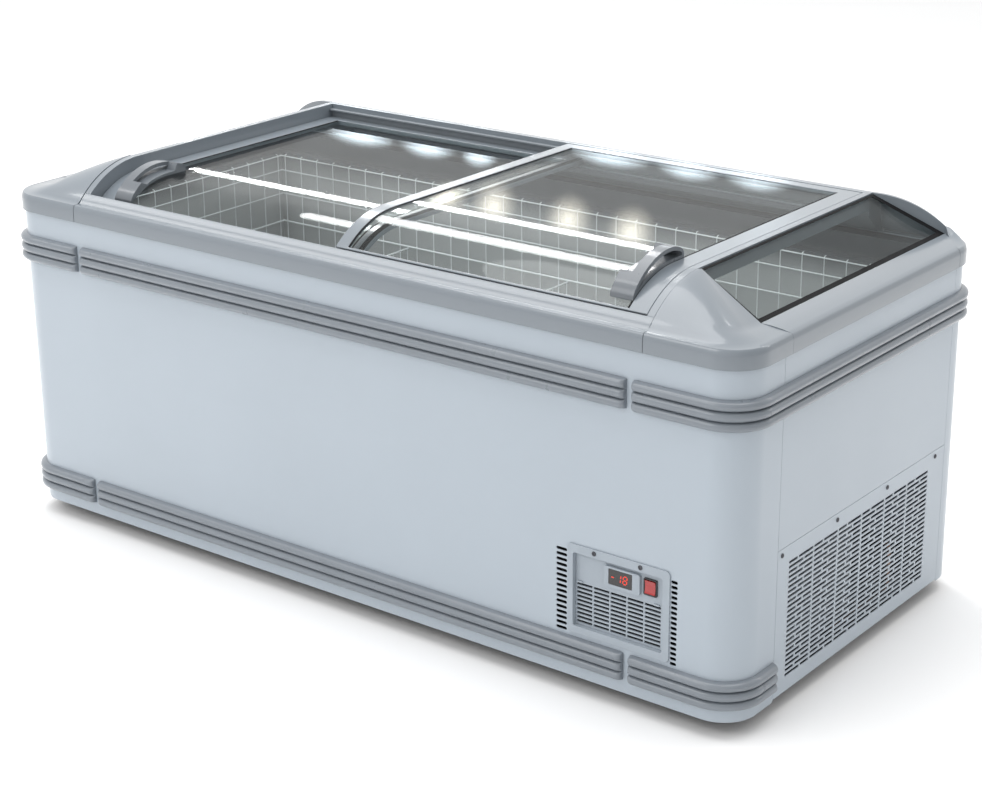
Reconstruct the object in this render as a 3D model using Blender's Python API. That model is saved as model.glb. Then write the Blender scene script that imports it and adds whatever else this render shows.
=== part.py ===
"""Glass-top island chest freezer as separate parts, in metres, +Z up.

The origin is on the floor under the middle of the cabinet. The front faces -Y and the
machine bay is at the +X end.
"""
import math

import bmesh
import bpy
from mathutils import Matrix, Vector

# Cabinet
HALF_LENGTH = 0.900
HALF_DEPTH = 0.4195
CORNER_RADIUS = 0.069
SKIRT_BOTTOM = 0.030
SKIN = 0.002
PANEL_TOP = 0.700
SEAM_FRONT = -0.293
SEAM_REAR = 0.3395
SEAM_GAP = 0.0008
GAP = 0.0005
CORNER_STEPS = 5

# Rim round the top edge
RIM_BOTTOM = 0.682
RIM_TOP = 0.710
RIM_SHOULDER = 0.7175
RIM_PROUD = 0.006
RIM_WALL = 0.004
RIM_FLOOR = 0.7045
CAP_X = 0.700

# Arch of the roof: a round front, flat behind
ARCH_Y = -0.250
ARCH_Z = 0.5795
ARCH_RADIUS = 0.210
ROOF_TOP = ARCH_Z + ARCH_RADIUS
REAR_ARCH_Y = 0.3725
REAR_ARCH_REACH = 0.045
REAR_ARCH_Z = 0.695
REAR_ARCH_RISE = ROOF_TOP - REAR_ARCH_Z
REAR_CREST_RADIUS = 0.2175
SIDE_FRAME_INNER = 0.685
SIDE_FRAME_DEPTH = 0.034
FRONT_RIM_INNER = -0.3900
REAR_RIM_INNER = 0.3600

# Share of a corner cap's run that is the flat rim, before the slope starts
RIM_SHARE = 0.29

# Sloping end glass
GLASS_FOOT_X = 0.8415
GLASS_FOOT_Z = 0.7235
GLASS_FOOT_Y = (-0.278, 0.403)
GLASS_HEAD_Y = (-0.2526, 0.3667)
PANE = 0.004

# Lids
LID_DROP = 0.028
LID_EDGE = 0.6842
LID_REAR = 0.3565
LID_BAR_REAR = 0.026
LID_BAR_OUTER = 0.039
LID_BAR_INNER = 0.028
UPPER_LID_LEFT = -0.0165
LOWER_LID_RIGHT = 0.024
UPPER_LID_DEPTH = 0.008
LOWER_LID_DEPTH = 0.010
UPPER_FOOT_ANGLE = 49
LOWER_FOOT_ANGLE = 50
LID_TRAVEL = 0.575
PANE_SINK = 0.0015

# Handles
HANDLE_INNER = 0.597
HANDLE_OUTER = 0.6445
GRIP_INNER = 0.622
GRIP_RISE = 0.0285
LEFT_GRIP_RISE = 0.0218
GRIP_THICKNESS = 0.0075
HANDLE_BASE = 0.005
HANDLE_BOTTOM = -0.0008

BUMPER_GAP_RIGHT = (0.6665, 0.6805)
BUMPER_GAP_LEFT = (0.690, 0.704)
BUMPER_PROUD = 0.0147
UPPER_BUMPER = (0.573, 0.630)
LOWER_BUMPER = (0.055, 0.111)

# Insulated tub
LINER_X = 0.845
LINER_Y = 0.350
LINER_WALL = 0.002
LINER_FLOOR = 0.100
LEDGE_Z = 0.655
LEDGE_WIDTH = 0.026
STEP_X = 0.370
STEP_FLOOR = 0.385
BAY_X = 0.415
BAY_TOP = 0.325
FOAM_TOP = 0.6965

# Wire guard
GUARD_CLEAR = 0.007
WIRE_SHEET = 0.004
GUARD_TOP = 0.657
DIVIDER_TOP = 0.493
DIVIDER_X = (-0.446, 0.0)

# Control panel, on the front near the right end
PANEL_X = (0.5445, 0.7630)
PANEL_Z = (0.1185, 0.2940)
RECESS_X = (0.5570, 0.7477)
RECESS_Z = (0.1335, 0.2775)
RECESS_DEPTH = 0.008

# Service grille on the right end
GRILLE_Z = (0.0345, 0.322)
SLOT_FIELD_Y = (-0.252, 0.273)
SLOT_FIELD_Z = (0.064, 0.288)

WHITE_STEEL = ((0.78, 0.82, 0.86), 0.35, 0.0)
RIM_PLASTIC = ((0.45, 0.48, 0.52), 0.35, 0.0)
BUMPER_RUBBER = ((0.25, 0.26, 0.28), 0.55, 0.0)
PANEL_PLASTIC = ((0.70, 0.74, 0.78), 0.40, 0.0)
DARK_PLASTIC = ((0.03, 0.03, 0.035), 0.45, 0.0)
RED_PLASTIC = ((0.65, 0.02, 0.02), 0.25, 0.0)
GLASS = ((0.80, 0.88, 0.90), 0.02, 0.0)
LINER_METAL = ((0.42, 0.43, 0.44), 0.40, 0.8)
BRIGHT_METAL = ((0.70, 0.71, 0.73), 0.30, 1.0)
BLACK_STEEL = ((0.02, 0.02, 0.022), 0.45, 0.6)
FOAM = ((0.80, 0.72, 0.48), 0.90, 0.0)
COPPER = ((0.80, 0.42, 0.25), 0.30, 1.0)
LAMP = ((0.90, 0.93, 1.00), 0.40, 0.0)


# ---------------------------------------------------------------- building tools

def clear_scene():
    for old in list(bpy.data.objects):
        bpy.data.objects.remove(old, do_unlink=True)


def add_object(name, bm, finish, origin=(0, 0, 0), parent=None):
    """Link a bmesh built in world coordinates, with its object origin at `origin`."""
    bmesh.ops.recalc_face_normals(bm, faces=bm.faces)
    if bm.calc_volume(signed=True) < 0:
        bmesh.ops.reverse_faces(bm, faces=bm.faces)
    bmesh.ops.translate(bm, verts=bm.verts, vec=-Vector(origin))
    mesh = bpy.data.meshes.new(name)
    bm.to_mesh(mesh)
    bm.free()
    obj = bpy.data.objects.new(name, mesh)
    bpy.context.scene.collection.objects.link(obj)
    obj.location = origin
    if parent is not None:
        obj.parent = parent
        obj.location = Vector(origin) - parent.location
    colour, roughness, metallic = finish
    material = bpy.data.materials.new(name)
    material.use_nodes = True
    shader = material.node_tree.nodes["Principled BSDF"]
    shader.inputs["Base Color"].default_value = (*colour, 1.0)
    shader.inputs["Roughness"].default_value = roughness
    shader.inputs["Metallic"].default_value = metallic
    mesh.materials.append(material)
    return obj


def add_pivot(name, location):
    empty = bpy.data.objects.new(name, None)
    bpy.context.scene.collection.objects.link(empty)
    empty.location = location
    return empty


def loft(rings, closed=False, folded=False):
    """Join rings of equally many points; open lofts get end caps. A folded ring runs out
    and back, so its end caps are strips between the two runs."""
    bm = bmesh.new()
    loops = [[bm.verts.new(point) for point in ring] for ring in rings]
    size = len(loops[0])
    pairs = list(zip(loops, loops[1:]))
    if closed:
        pairs.append((loops[-1], loops[0]))
    elif folded:
        for loop in (loops[0], loops[-1]):
            for i in range(size // 2 - 1):
                bm.faces.new((loop[i], loop[i + 1], loop[-2 - i], loop[-1 - i]))
    else:
        bm.faces.new(loops[0][::-1])
        bm.faces.new(loops[-1])
    for first, second in pairs:
        for i in range(size):
            j = (i + 1) % size
            bm.faces.new((first[i], first[j], second[j], second[i]))
    return bm


def prism(outline, axis, low, high):
    """Extrude an outline along x (outline in y, z), y (in x, z) or z (in x, y)."""
    def place(a, b, along):
        if axis == "x":
            return (along, a, b)
        if axis == "y":
            return (a, along, b)
        return (a, b, along)
    return loft([[place(a, b, along) for a, b in outline] for along in (low, high)])


def box(low, high):
    (x0, y0, z0), (x1, y1, z1) = low, high
    return prism([(x0, y0), (x1, y0), (x1, y1), (x0, y1)], "z", z0, z1)


def boxes(pairs):
    """Several separate boxes in one bmesh, for use as a cutter."""
    bm = bmesh.new()
    for (x0, y0, z0), (x1, y1, z1) in pairs:
        size = Matrix.Diagonal((x1 - x0, y1 - y0, z1 - z0, 1.0))
        middle = Matrix.Translation(((x0 + x1) / 2, (y0 + y1) / 2, (z0 + z1) / 2))
        bmesh.ops.create_cube(bm, size=1.0, matrix=middle @ size)
    return bm


def turned(profile, centre, axis="z", steps=16):
    """Solid of revolution: profile of (radius, height) from one flat end to the other."""
    centre = Vector(centre)
    rings = []
    for radius, height in profile:
        ring = []
        for i in range(steps):
            angle = 2 * math.pi * i / steps
            a, b = radius * math.cos(angle), radius * math.sin(angle)
            offset = {"x": (height, a, b), "y": (a, height, b), "z": (a, b, height)}[axis]
            ring.append(centre + Vector(offset))
        rings.append(ring)
    return loft(rings)


def tube(path, radius, sides=6):
    """Round tube along a polyline, mitred at its corners."""
    points = [Vector(p) for p in path]
    rings = []
    up = None
    for i, point in enumerate(points):
        before = (point - points[i - 1]).normalized() if i else None
        after = (points[i + 1] - point).normalized() if i + 1 < len(points) else None
        if before is None:
            along = after
        elif after is None:
            along = before
        else:
            along = (before + after).normalized()
        if up is None:
            up = along.orthogonal().normalized()
        up = (up - along * up.dot(along)).normalized()
        side = along.cross(up)
        stretch = 1.0
        if before is not None and after is not None:
            stretch = 1.0 / max(0.5, along.dot(before))
        ring = []
        for k in range(sides):
            angle = 2 * math.pi * k / sides
            ring.append(point + (up * math.cos(angle) + side * math.sin(angle)) * radius * stretch)
        rings.append(ring)
    return loft(rings)


def sheet(xs, rows, top, bottom, solid=None):
    """Thick sheet over a grid. rows are (y, z, ny, nz); top and bottom give each row's
    offsets along its normal; solid(column, row) says which cells exist."""
    bm = bmesh.new()
    made = {}

    def corner(i, j, upper):
        key = (i, j, upper)
        if key not in made:
            y, z, ny, nz = rows[j]
            height = (top if upper else bottom)[j]
            made[key] = bm.verts.new((xs[i], y + ny * height, z + nz * height))
        return made[key]

    def filled(i, j):
        inside = 0 <= i < len(xs) - 1 and 0 <= j < len(rows) - 1
        return inside and (solid is None or solid(i, j))

    for i in range(len(xs) - 1):
        for j in range(len(rows) - 1):
            if not filled(i, j):
                continue
            square = [(i, j), (i + 1, j), (i + 1, j + 1), (i, j + 1)]
            bm.faces.new([corner(a, b, True) for a, b in square])
            bm.faces.new([corner(a, b, False) for a, b in reversed(square)])
            sides = {(i, j - 1): (0, 1), (i + 1, j): (1, 2), (i, j + 1): (2, 3), (i - 1, j): (3, 0)}
            for neighbour, (p, q) in sides.items():
                if not filled(*neighbour):
                    a, b = square[p], square[q]
                    wall = [corner(*a, True), corner(*a, False), corner(*b, False), corner(*b, True)]
                    bm.faces.new(wall)
    return bm


def add_boolean(target, bm, name, operation="DIFFERENCE"):
    """Cut or join with a hidden helper object."""
    helper = add_object(name, bm, DARK_PLASTIC)
    helper.hide_render = True
    helper.display_type = "WIRE"
    modifier = target.modifiers.new(name, "BOOLEAN")
    modifier.object = helper
    modifier.operation = operation
    modifier.solver = "EXACT"


# ---------------------------------------------------------------- shared outlines

def corner_points(quadrant):
    """Points and outward normals of a right-hand corner: -1 the front one, 1 the rear one."""
    start = -math.pi / 2 if quadrant < 0 else 0.0
    centre_x = HALF_LENGTH - CORNER_RADIUS
    centre_y = quadrant * (HALF_DEPTH - CORNER_RADIUS)
    points = []
    for i in range(CORNER_STEPS + 1):
        angle = start + math.pi / 2 * i / CORNER_STEPS
        nx, ny = math.cos(angle), math.sin(angle)
        points.append((centre_x + CORNER_RADIUS * nx, centre_y + CORNER_RADIUS * ny, nx, ny))
    return points


def mirrored(path):
    return [(-x, y, -nx, ny) for x, y, nx, ny in reversed(path)]


def front_path(seam):
    """From the right end's front seam, round the front, to the left end's."""
    right = [(HALF_LENGTH, seam, 1, 0)] + corner_points(-1)[::-1]
    return right + mirrored(right)


def rear_path(seam):
    right = [(HALF_LENGTH, seam, 1, 0)] + corner_points(1)
    return right + mirrored(right)


def skin_outline(path, thickness):
    outer = [(x, y) for x, y, nx, ny in path]
    inner = [(x - nx * thickness, y - ny * thickness) for x, y, nx, ny in path]
    return outer + inner[::-1]


def rounded_outline(inset):
    """Plan of the cabinet, moved inwards."""
    right = corner_points(-1) + corner_points(1)
    path = right + mirrored(right)
    return [(x - nx * inset, y - ny * inset) for x, y, nx, ny in path]


def arch_row(degrees, drop=0.0):
    """Point and normal on the roof's round front, moved inwards by drop."""
    angle = math.radians(degrees)
    radius = ARCH_RADIUS - drop
    ny, nz = -math.cos(angle), math.sin(angle)
    return (ARCH_Y + radius * ny, ARCH_Z + radius * nz, ny, nz)


def arch_height(y):
    """Height of the roof's front surface at a given y."""
    if y > ARCH_Y:
        return ROOF_TOP
    return ARCH_Z + math.sqrt(ARCH_RADIUS ** 2 - (ARCH_Y - y) ** 2)


def arch_rows(start, drop=0.0, steps=7):
    return [arch_row(start + (90 - start) * i / steps, drop) for i in range(steps + 1)]


def rear_arch(start, steps=5):
    """Points on the rear fascia's ellipse, from low to the top."""
    points = []
    for i in range(steps + 1):
        angle = math.radians(start + (90 - start) * i / steps)
        y = REAR_ARCH_Y + REAR_ARCH_REACH * math.cos(angle)
        points.append((y, REAR_ARCH_Z + REAR_ARCH_RISE * math.sin(angle)))
    return points


# ---------------------------------------------------------------- cabinet

def build_front_panel():
    outline = skin_outline(front_path(SEAM_FRONT), SKIN)
    panel = add_object("front_panel", prism(outline, "z", SKIRT_BOTTOM, PANEL_TOP), WHITE_STEEL)
    face = -HALF_DEPTH
    slot_height, slot_count, under_bezel = 0.005, 16, 0.0025
    reach = 0.022
    pitch = (PANEL_Z[1] - PANEL_Z[0] - 0.012) / (slot_count - 1)
    cuts = []
    for i in range(slot_count):
        z = PANEL_Z[0] + i * pitch
        for low, high in ((PANEL_X[0] - reach, PANEL_X[0] + under_bezel),
                          (PANEL_X[1] - under_bezel, PANEL_X[1] + reach)):
            cuts.append(((low, face - 0.01, z), (high, face + 0.01, z + slot_height)))
    margin = 0.004
    cuts.append(((RECESS_X[0] - margin, face - 0.01, RECESS_Z[0] - margin),
                 (RECESS_X[1] + margin, face + 0.01, RECESS_Z[1] + margin)))
    add_boolean(panel, boxes(cuts), "front_panel_cuts")


def build_rear_panel():
    outline = skin_outline(rear_path(SEAM_REAR), SKIN)
    add_object("rear_panel", prism(outline, "z", SKIRT_BOTTOM, PANEL_TOP), WHITE_STEEL)


def build_end_panels():
    low_y, high_y = SEAM_FRONT + SEAM_GAP, SEAM_REAR - SEAM_GAP
    outer, inner = HALF_LENGTH, HALF_LENGTH - SKIN
    left = box((-outer, low_y, GRILLE_Z[0]), (-inner, high_y, PANEL_TOP))
    add_object("end_panel_left", left, WHITE_STEEL)
    right = box((inner, low_y, GRILLE_Z[1] + SEAM_GAP), (outer, high_y, PANEL_TOP))
    add_object("end_panel_right", right, WHITE_STEEL)


def build_service_grille():
    """Removable panel with a field of slots in brick courses."""
    low_y, high_y = SEAM_FRONT + SEAM_GAP, SEAM_REAR - SEAM_GAP
    outer, inner = HALF_LENGTH, HALF_LENGTH - SKIN
    grille = add_object("service_grille",
                        box((inner, low_y, GRILLE_Z[0]), (outer, high_y, GRILLE_Z[1])), WHITE_STEEL)
    columns, courses, web = 6, 8, 0.006
    width = (SLOT_FIELD_Y[1] - SLOT_FIELD_Y[0] + web) / columns
    pitch = (SLOT_FIELD_Z[1] - SLOT_FIELD_Z[0] + web) / courses
    cuts = []
    for column in range(columns):
        for course in range(courses):
            y = SLOT_FIELD_Y[0] + column * width
            z = SLOT_FIELD_Z[0] + course * pitch
            cuts.append(((inner - 0.01, y, z), (outer + 0.01, y + width - web, z + pitch - web)))
    add_boolean(grille, boxes(cuts), "service_grille_slots")


def build_grille_screws():
    """Pan-head screws along the top of the service grille."""
    ys, z = (-0.278, -0.083, 0.106, 0.300), 0.310
    head = [(0.0045, 0.0003), (0.0045, 0.0012), (0.0030, 0.0022), (0.0010, 0.0025)]
    for i, y in enumerate(ys, 1):
        screw = turned(head, (HALF_LENGTH, y, z), axis="x", steps=10)
        add_object(f"grille_screw_{i}", screw, BRIGHT_METAL)


def build_base_tray():
    clear = SKIN + 0.001
    tray = add_object("base_tray", prism(rounded_outline(clear), "z", 0.032, 0.060), BLACK_STEEL)
    wall = 0.0015
    pocket = prism(rounded_outline(clear + wall), "z", 0.032 + wall, 0.080)
    add_boolean(tray, pocket, "base_tray_pocket")


def build_insulation():
    inset = SKIN + 0.0031
    foam = add_object("insulation", prism(rounded_outline(inset), "z", 0.0345, FOAM_TOP), FOAM)
    clear = LINER_WALL + GAP
    low_floor = LINER_FLOOR - clear
    well = [(-LINER_X - clear, low_floor), (STEP_X + clear, low_floor),
            (STEP_X + clear, STEP_FLOOR - clear), (LINER_X + clear, STEP_FLOOR - clear),
            (LINER_X + clear, 0.75), (-LINER_X - clear, 0.75)]
    add_boolean(foam, prism(well, "y", -LINER_Y - clear, LINER_Y + clear), "insulation_well")
    ledge_x = LINER_X + LEDGE_WIDTH + clear
    ledge_y = LINER_Y + LEDGE_WIDTH + clear
    ledge = box((-ledge_x, -ledge_y, LEDGE_Z - clear), (ledge_x, ledge_y, 0.75))
    add_boolean(foam, ledge, "insulation_ledge")
    pocket_x, pocket_y = LINER_X + 0.016, LINER_Y + 0.016
    pocket = box((-pocket_x, -pocket_y, 0.40), (pocket_x, pocket_y, 0.62))
    add_boolean(foam, pocket, "insulation_coil_pocket")
    bay = box((BAY_X, -0.5, 0.0), (1.0, 0.5, BAY_TOP))
    add_boolean(foam, bay, "insulation_bay")


def build_liner():
    """Stepped tub with a ledge that the wire guard hangs on, and a flange under the rim."""
    wall = LINER_WALL
    outer = [(-LINER_X - wall, LINER_FLOOR - wall), (STEP_X + wall, LINER_FLOOR - wall),
             (STEP_X + wall, STEP_FLOOR - wall), (LINER_X + wall, STEP_FLOOR - wall),
             (LINER_X + wall, LEDGE_Z + 0.01), (-LINER_X - wall, LEDGE_Z + 0.01)]
    liner = add_object("inner_liner", prism(outer, "y", -LINER_Y - wall, LINER_Y + wall), LINER_METAL)
    ledge_x, ledge_y = LINER_X + LEDGE_WIDTH, LINER_Y + LEDGE_WIDTH
    upper = box((-ledge_x - wall, -ledge_y - wall, LEDGE_Z - wall),
                (ledge_x + wall, ledge_y + wall, FOAM_TOP + 0.0025))
    add_boolean(liner, upper, "liner_upper", "UNION")
    flange = prism(rounded_outline(0.0055), "z", FOAM_TOP + GAP, FOAM_TOP + 0.0025)
    add_boolean(liner, flange, "liner_flange", "UNION")
    inner = [(-LINER_X, LINER_FLOOR), (STEP_X, LINER_FLOOR), (STEP_X, STEP_FLOOR),
             (LINER_X, STEP_FLOOR), (LINER_X, 0.75), (-LINER_X, 0.75)]
    add_boolean(liner, prism(inner, "y", -LINER_Y, LINER_Y), "liner_hollow")
    add_boolean(liner, box((-ledge_x, -ledge_y, LEDGE_Z), (ledge_x, ledge_y, 0.75)), "liner_mouth")


def build_evaporator():
    """Tube wound round the liner inside the foam, one turn above the next."""
    reach_x, reach_y, bend = LINER_X + 0.009, LINER_Y + 0.009, 0.006
    low, pitch, turns = 0.43, 0.045, 4
    corners = [(reach_x, -reach_y), (reach_x, reach_y), (-reach_x, reach_y), (-reach_x, -reach_y)]
    path = []
    for turn in range(turns):
        for k, (x, y) in enumerate(corners):
            z = low + pitch * (turn + k / len(corners))
            sx, sy = math.copysign(bend, x), math.copysign(bend, y)
            near_end, near_side = (x, y - sy, z), (x - sx, y, z)
            path += [near_end, near_side] if k % 2 else [near_side, near_end]
    add_object("evaporator_coil", tube(path, 0.0035), COPPER)


def build_feet():
    """Levelling feet: a round pad and a stem that screws into the base tray."""
    stem = 0.006
    profile = [(0.018, 0.0), (0.020, 0.003), (0.020, 0.010), (stem, 0.016), (stem, 0.0315)]
    for side, x in (("left", -0.78), ("right", 0.78)):
        for end, y in (("front", -0.33), ("rear", 0.33)):
            name = f"foot_{end}_{side}"
            add_object(name, turned(profile, (x, y, 0.0), steps=12), DARK_PLASTIC, (x, y, 0.0))


# ---------------------------------------------------------------- top frame

def build_front_rim():
    outer = HALF_DEPTH + RIM_PROUD
    inner = outer - RIM_WALL
    middle_y = (FRONT_RIM_INNER - outer) / 2
    top = [(middle_y, arch_height(middle_y))]
    edge_z = arch_height(FRONT_RIM_INNER)
    outline = [(-outer, RIM_BOTTOM), (-outer, RIM_TOP), (-outer + 0.005, RIM_SHOULDER)]
    outline += top + [(FRONT_RIM_INNER, edge_z), (FRONT_RIM_INNER, RIM_FLOOR)]
    outline += [(-inner, RIM_FLOOR), (-inner, RIM_BOTTOM)]
    add_object("rim_front", prism(outline, "x", -CAP_X, CAP_X), RIM_PLASTIC)


def build_rear_rim():
    outer = HALF_DEPTH + RIM_PROUD
    inner = outer - RIM_WALL
    outline = [(outer, RIM_BOTTOM), (outer, RIM_TOP), (outer - 0.004, RIM_SHOULDER)]
    outline += rear_arch(20) + [(REAR_RIM_INNER, ROOF_TOP), (REAR_RIM_INNER, 0.742)]
    outline += [(0.400, RIM_FLOOR), (inner, RIM_FLOOR), (inner, RIM_BOTTOM)]
    add_object("rim_rear", prism(outline, "x", -CAP_X, CAP_X), RIM_PLASTIC)


def front_rim_edge():
    """Outer rim points and normals of the front right-hand corner, from x = CAP_X to its seam."""
    points = corner_points(-1)
    first = (CAP_X + GAP, -HALF_DEPTH, 0, -1)
    middle = ((CAP_X + points[0][0]) / 2, -HALF_DEPTH, 0, -1)
    return [first, middle] + points + [(HALF_LENGTH, GLASS_FOOT_Y[0] - GAP, 1, 0)]


def blend(value):
    return value * value * (3 - 2 * value)


def front_height(share):
    """Height over the shoulder of the front arch, at a share of the way to the apex."""
    y = -HALF_DEPTH + share * (GLASS_HEAD_Y[0] + HALF_DEPTH)
    return max(RIM_SHOULDER, arch_height(y))


def rear_fall(share):
    """How much of the height is left, from the crest (0) to the rear edge (1)."""
    y = GLASS_HEAD_Y[1] + share * (HALF_DEPTH - GLASS_HEAD_Y[1])
    lift = max(0.0, 1 - (max(0.0, y - REAR_ARCH_Y) / REAR_ARCH_REACH) ** 2)
    z = REAR_ARCH_Z + REAR_ARCH_RISE * math.sqrt(lift)
    return max(0.0, (z - RIM_SHOULDER) / (ROOF_TOP - RIM_SHOULDER))


def crest_height(x):
    """Height of the rear cap's round crest above the end glass's rear edge."""
    reach = max(0.0, x - CAP_X)
    if reach > REAR_CREST_RADIUS:
        return RIM_SHOULDER
    return ROOF_TOP - REAR_CREST_RADIUS + math.sqrt(REAR_CREST_RADIUS ** 2 - reach ** 2)


def slope_height(x):
    """Height of the end glass's plane, level past its foot."""
    share = min(1.0, (x - CAP_X) / (GLASS_FOOT_X - CAP_X))
    return ROOF_TOP + (GLASS_FOOT_Z - ROOF_TOP) * share


def end_height(share):
    """Height along the end: a nearly flat rim, then the slope beside the end glass."""
    if share < RIM_SHARE:
        return RIM_SHOULDER + (GLASS_FOOT_Z - RIM_SHOULDER) * share / RIM_SHARE
    return GLASS_FOOT_Z + (ROOF_TOP - GLASS_FOOT_Z) * (share - RIM_SHARE) / (1 - RIM_SHARE)


def end_bend(start, foot, tip, share):
    """How far the end seam, which bends at the glass's foot, lies off a straight line."""
    if share < RIM_SHARE:
        return start.lerp(foot, share / RIM_SHARE) - start.lerp(tip, share)
    return foot.lerp(tip, (share - RIM_SHARE) / (1 - RIM_SHARE)) - start.lerp(tip, share)


def cap_tip(apex_y, turn, radius=0.004):
    angle = turn * math.pi / 2
    return Vector((CAP_X + GAP + radius * math.sin(angle),
                   apex_y - (GAP + radius * math.cos(angle))))


def rim_side(x, y, nx, ny):
    """Bottom and top of a cap's outer face, and the same of its hidden inner face."""
    outer = [(x + nx * RIM_PROUD, y + ny * RIM_PROUD, z) for z in (RIM_BOTTOM, RIM_TOP)]
    inner = [(x + nx * 0.002, y + ny * 0.002, z) for z in (RIM_BOTTOM, RIM_FLOOR)]
    return outer, inner


def front_cap_rings():
    """Sections of the front right-hand cap, each from the rim towards the apex."""
    apex_y, foot = GLASS_HEAD_Y[0], Vector((GLASS_FOOT_X, GLASS_FOOT_Y[0] - GAP))
    edge = front_rim_edge()
    x, y, nx, ny = edge[-1]
    last_start = Vector((x + nx * 0.001, y + ny * 0.001))
    last_tip = cap_tip(apex_y, 1.0)
    wall = 0.005
    shares = (0.0, RIM_SHARE / 2, RIM_SHARE, 0.42, 0.55, 0.70, 0.85, 1.0)
    rings = []
    for k, (x, y, nx, ny) in enumerate(edge):
        turn = blend(k / (len(edge) - 1))
        tip = cap_tip(apex_y, turn)
        start = Vector((x + nx * 0.001, y + ny * 0.001))
        inward = (tip - start + turn * end_bend(last_start, foot, last_tip, RIM_SHARE)).normalized()
        if turn == 1:
            inward = (foot - start).normalized()
        outer, inner = rim_side(x, y, nx, ny)
        for i, share in enumerate(shares):
            bend = end_bend(last_start, foot, last_tip, share)
            plan = start.lerp(tip, share) + turn * bend
            z = (1 - turn) * front_height(share) + turn * end_height(share)
            outer.append((plan.x, plan.y, z))
            low = plan + inward * wall * (1 - share) ** 2
            drop = wall + 0.004 * (1 - share)
            inner.append((low.x, low.y, max(RIM_FLOOR + 0.0002 * i, z - drop)))
        rings.append(outer + inner[::-1])
    return rings


def rear_cap_stations(along, corner):
    """(outer point and normal, inner point, turn) from x = CAP_X round to the end seam."""
    head = Vector((CAP_X + GAP, GLASS_HEAD_Y[1] + GAP))
    foot = Vector((GLASS_FOOT_X + GAP, GLASS_FOOT_Y[1] + GAP))
    start_x, stop_x = CAP_X + GAP, HALF_LENGTH - CORNER_RADIUS
    stations = []
    for i in range(along):
        share = i / along
        outer = (start_x + (stop_x - start_x) * share, HALF_DEPTH, 0, 1)
        stations.append((outer, head.lerp(foot, share), 0.0))
    round_corner = corner[::-1] + [(HALF_LENGTH, SEAM_REAR + GAP, 1, 0)]
    radius = 0.0015
    for k, outer in enumerate(round_corner):
        turn = k / (len(round_corner) - 1)
        angle = math.pi / 2 * (1 - turn)
        inner = foot + Vector((math.cos(angle), math.sin(angle) - 1)) * radius * turn
        stations.append((outer, inner, turn))
    return stations


def rear_cap_rings():
    """Sections of the rear right-hand cap, a dome with an upright face beside the end glass."""
    wall = 0.005
    shares = (0.0, 0.12, 0.28, 0.46, 0.62, 0.78, 0.90, 1.0)
    rings = []
    for (x, y, nx, ny), inner_end, turn in rear_cap_stations(5, corner_points(1)):
        start = Vector((x + nx * 0.001, y + ny * 0.001))
        inward = (inner_end - start).normalized()
        crest, seat = crest_height(inner_end.x), slope_height(inner_end.x)
        outer, inner = rim_side(x, y, nx, ny)
        for i, share in enumerate(shares):
            plan = start.lerp(inner_end, share)
            flat = RIM_SHOULDER + (seat - RIM_SHOULDER) * share
            dome = RIM_SHOULDER + (crest - RIM_SHOULDER) * rear_fall(1 - share)
            side = max(flat, crest_height(plan.x))
            z = flat if turn == 1 else (1 - blend(turn)) * dome + blend(turn) * side
            outer.append((plan.x, plan.y, z))
            low = plan + inward * wall * (1 - share) ** 2
            under = z - wall - 0.004 * (1 - share)
            floor = RIM_FLOOR + 0.0002 * i
            inner.append((low.x, low.y, max(floor, under if share < 1 else seat - wall)))
        rings.append(outer + inner[::-1])
    return rings


def build_corner_caps():
    for end, rings in (("front", front_cap_rings()), ("rear", rear_cap_rings())):
        add_object(f"corner_cap_{end}_right", loft(rings, folded=True), RIM_PLASTIC)
        flipped = [[(-x, y, z) for x, y, z in ring] for ring in rings]
        add_object(f"corner_cap_{end}_left", loft(flipped, folded=True), RIM_PLASTIC)


def build_end_rails():
    """Straight rim along each end, cut slantwise where the rear cap starts."""
    foot_x = GLASS_FOOT_X + GAP
    rings = []
    for y, foot_y in ((GLASS_FOOT_Y[0], GLASS_FOOT_Y[0]), (SEAM_REAR - GAP, GLASS_FOOT_Y[1] - GAP)):
        rings.append([(HALF_LENGTH + RIM_PROUD, y, RIM_BOTTOM), (HALF_LENGTH + RIM_PROUD, y, RIM_TOP),
                      (HALF_LENGTH + 0.001, y, RIM_SHOULDER), (foot_x, foot_y, GLASS_FOOT_Z),
                      (foot_x, foot_y, GLASS_FOOT_Z - 0.010), (HALF_LENGTH - 0.003, y, RIM_FLOOR),
                      (HALF_LENGTH + 0.002, y, RIM_FLOOR), (HALF_LENGTH + 0.002, y, RIM_BOTTOM)])
    add_object("end_rail_right", loft(rings, folded=True), RIM_PLASTIC)
    flipped = [[(-x, y, z) for x, y, z in ring] for ring in rings]
    add_object("end_rail_left", loft(flipped, folded=True), RIM_PLASTIC)


def build_side_frames():
    """Arched cheeks that the lids run between."""
    front = FRONT_RIM_INNER + 0.0003
    start = math.degrees(math.acos((ARCH_Y - front) / ARCH_RADIUS))
    top = [(y, z) for y, z, _, _ in arch_rows(start)]
    drop = SIDE_FRAME_DEPTH
    under = [(y, z) for y, z, _, _ in arch_rows(46, drop, steps=5)]
    rear = REAR_RIM_INNER - 0.0003
    outline = [(front, RIM_FLOOR)] + top + [(rear, ROOF_TOP)]
    outline += [(rear, ROOF_TOP - drop)] + under[::-1] + [(under[0][0], RIM_FLOOR)]
    for side, sign in (("left", -1), ("right", 1)):
        low, high = sorted((sign * SIDE_FRAME_INNER, sign * CAP_X))
        add_object(f"side_frame_{side}", prism(outline, "x", low, high), RIM_PLASTIC)


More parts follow.
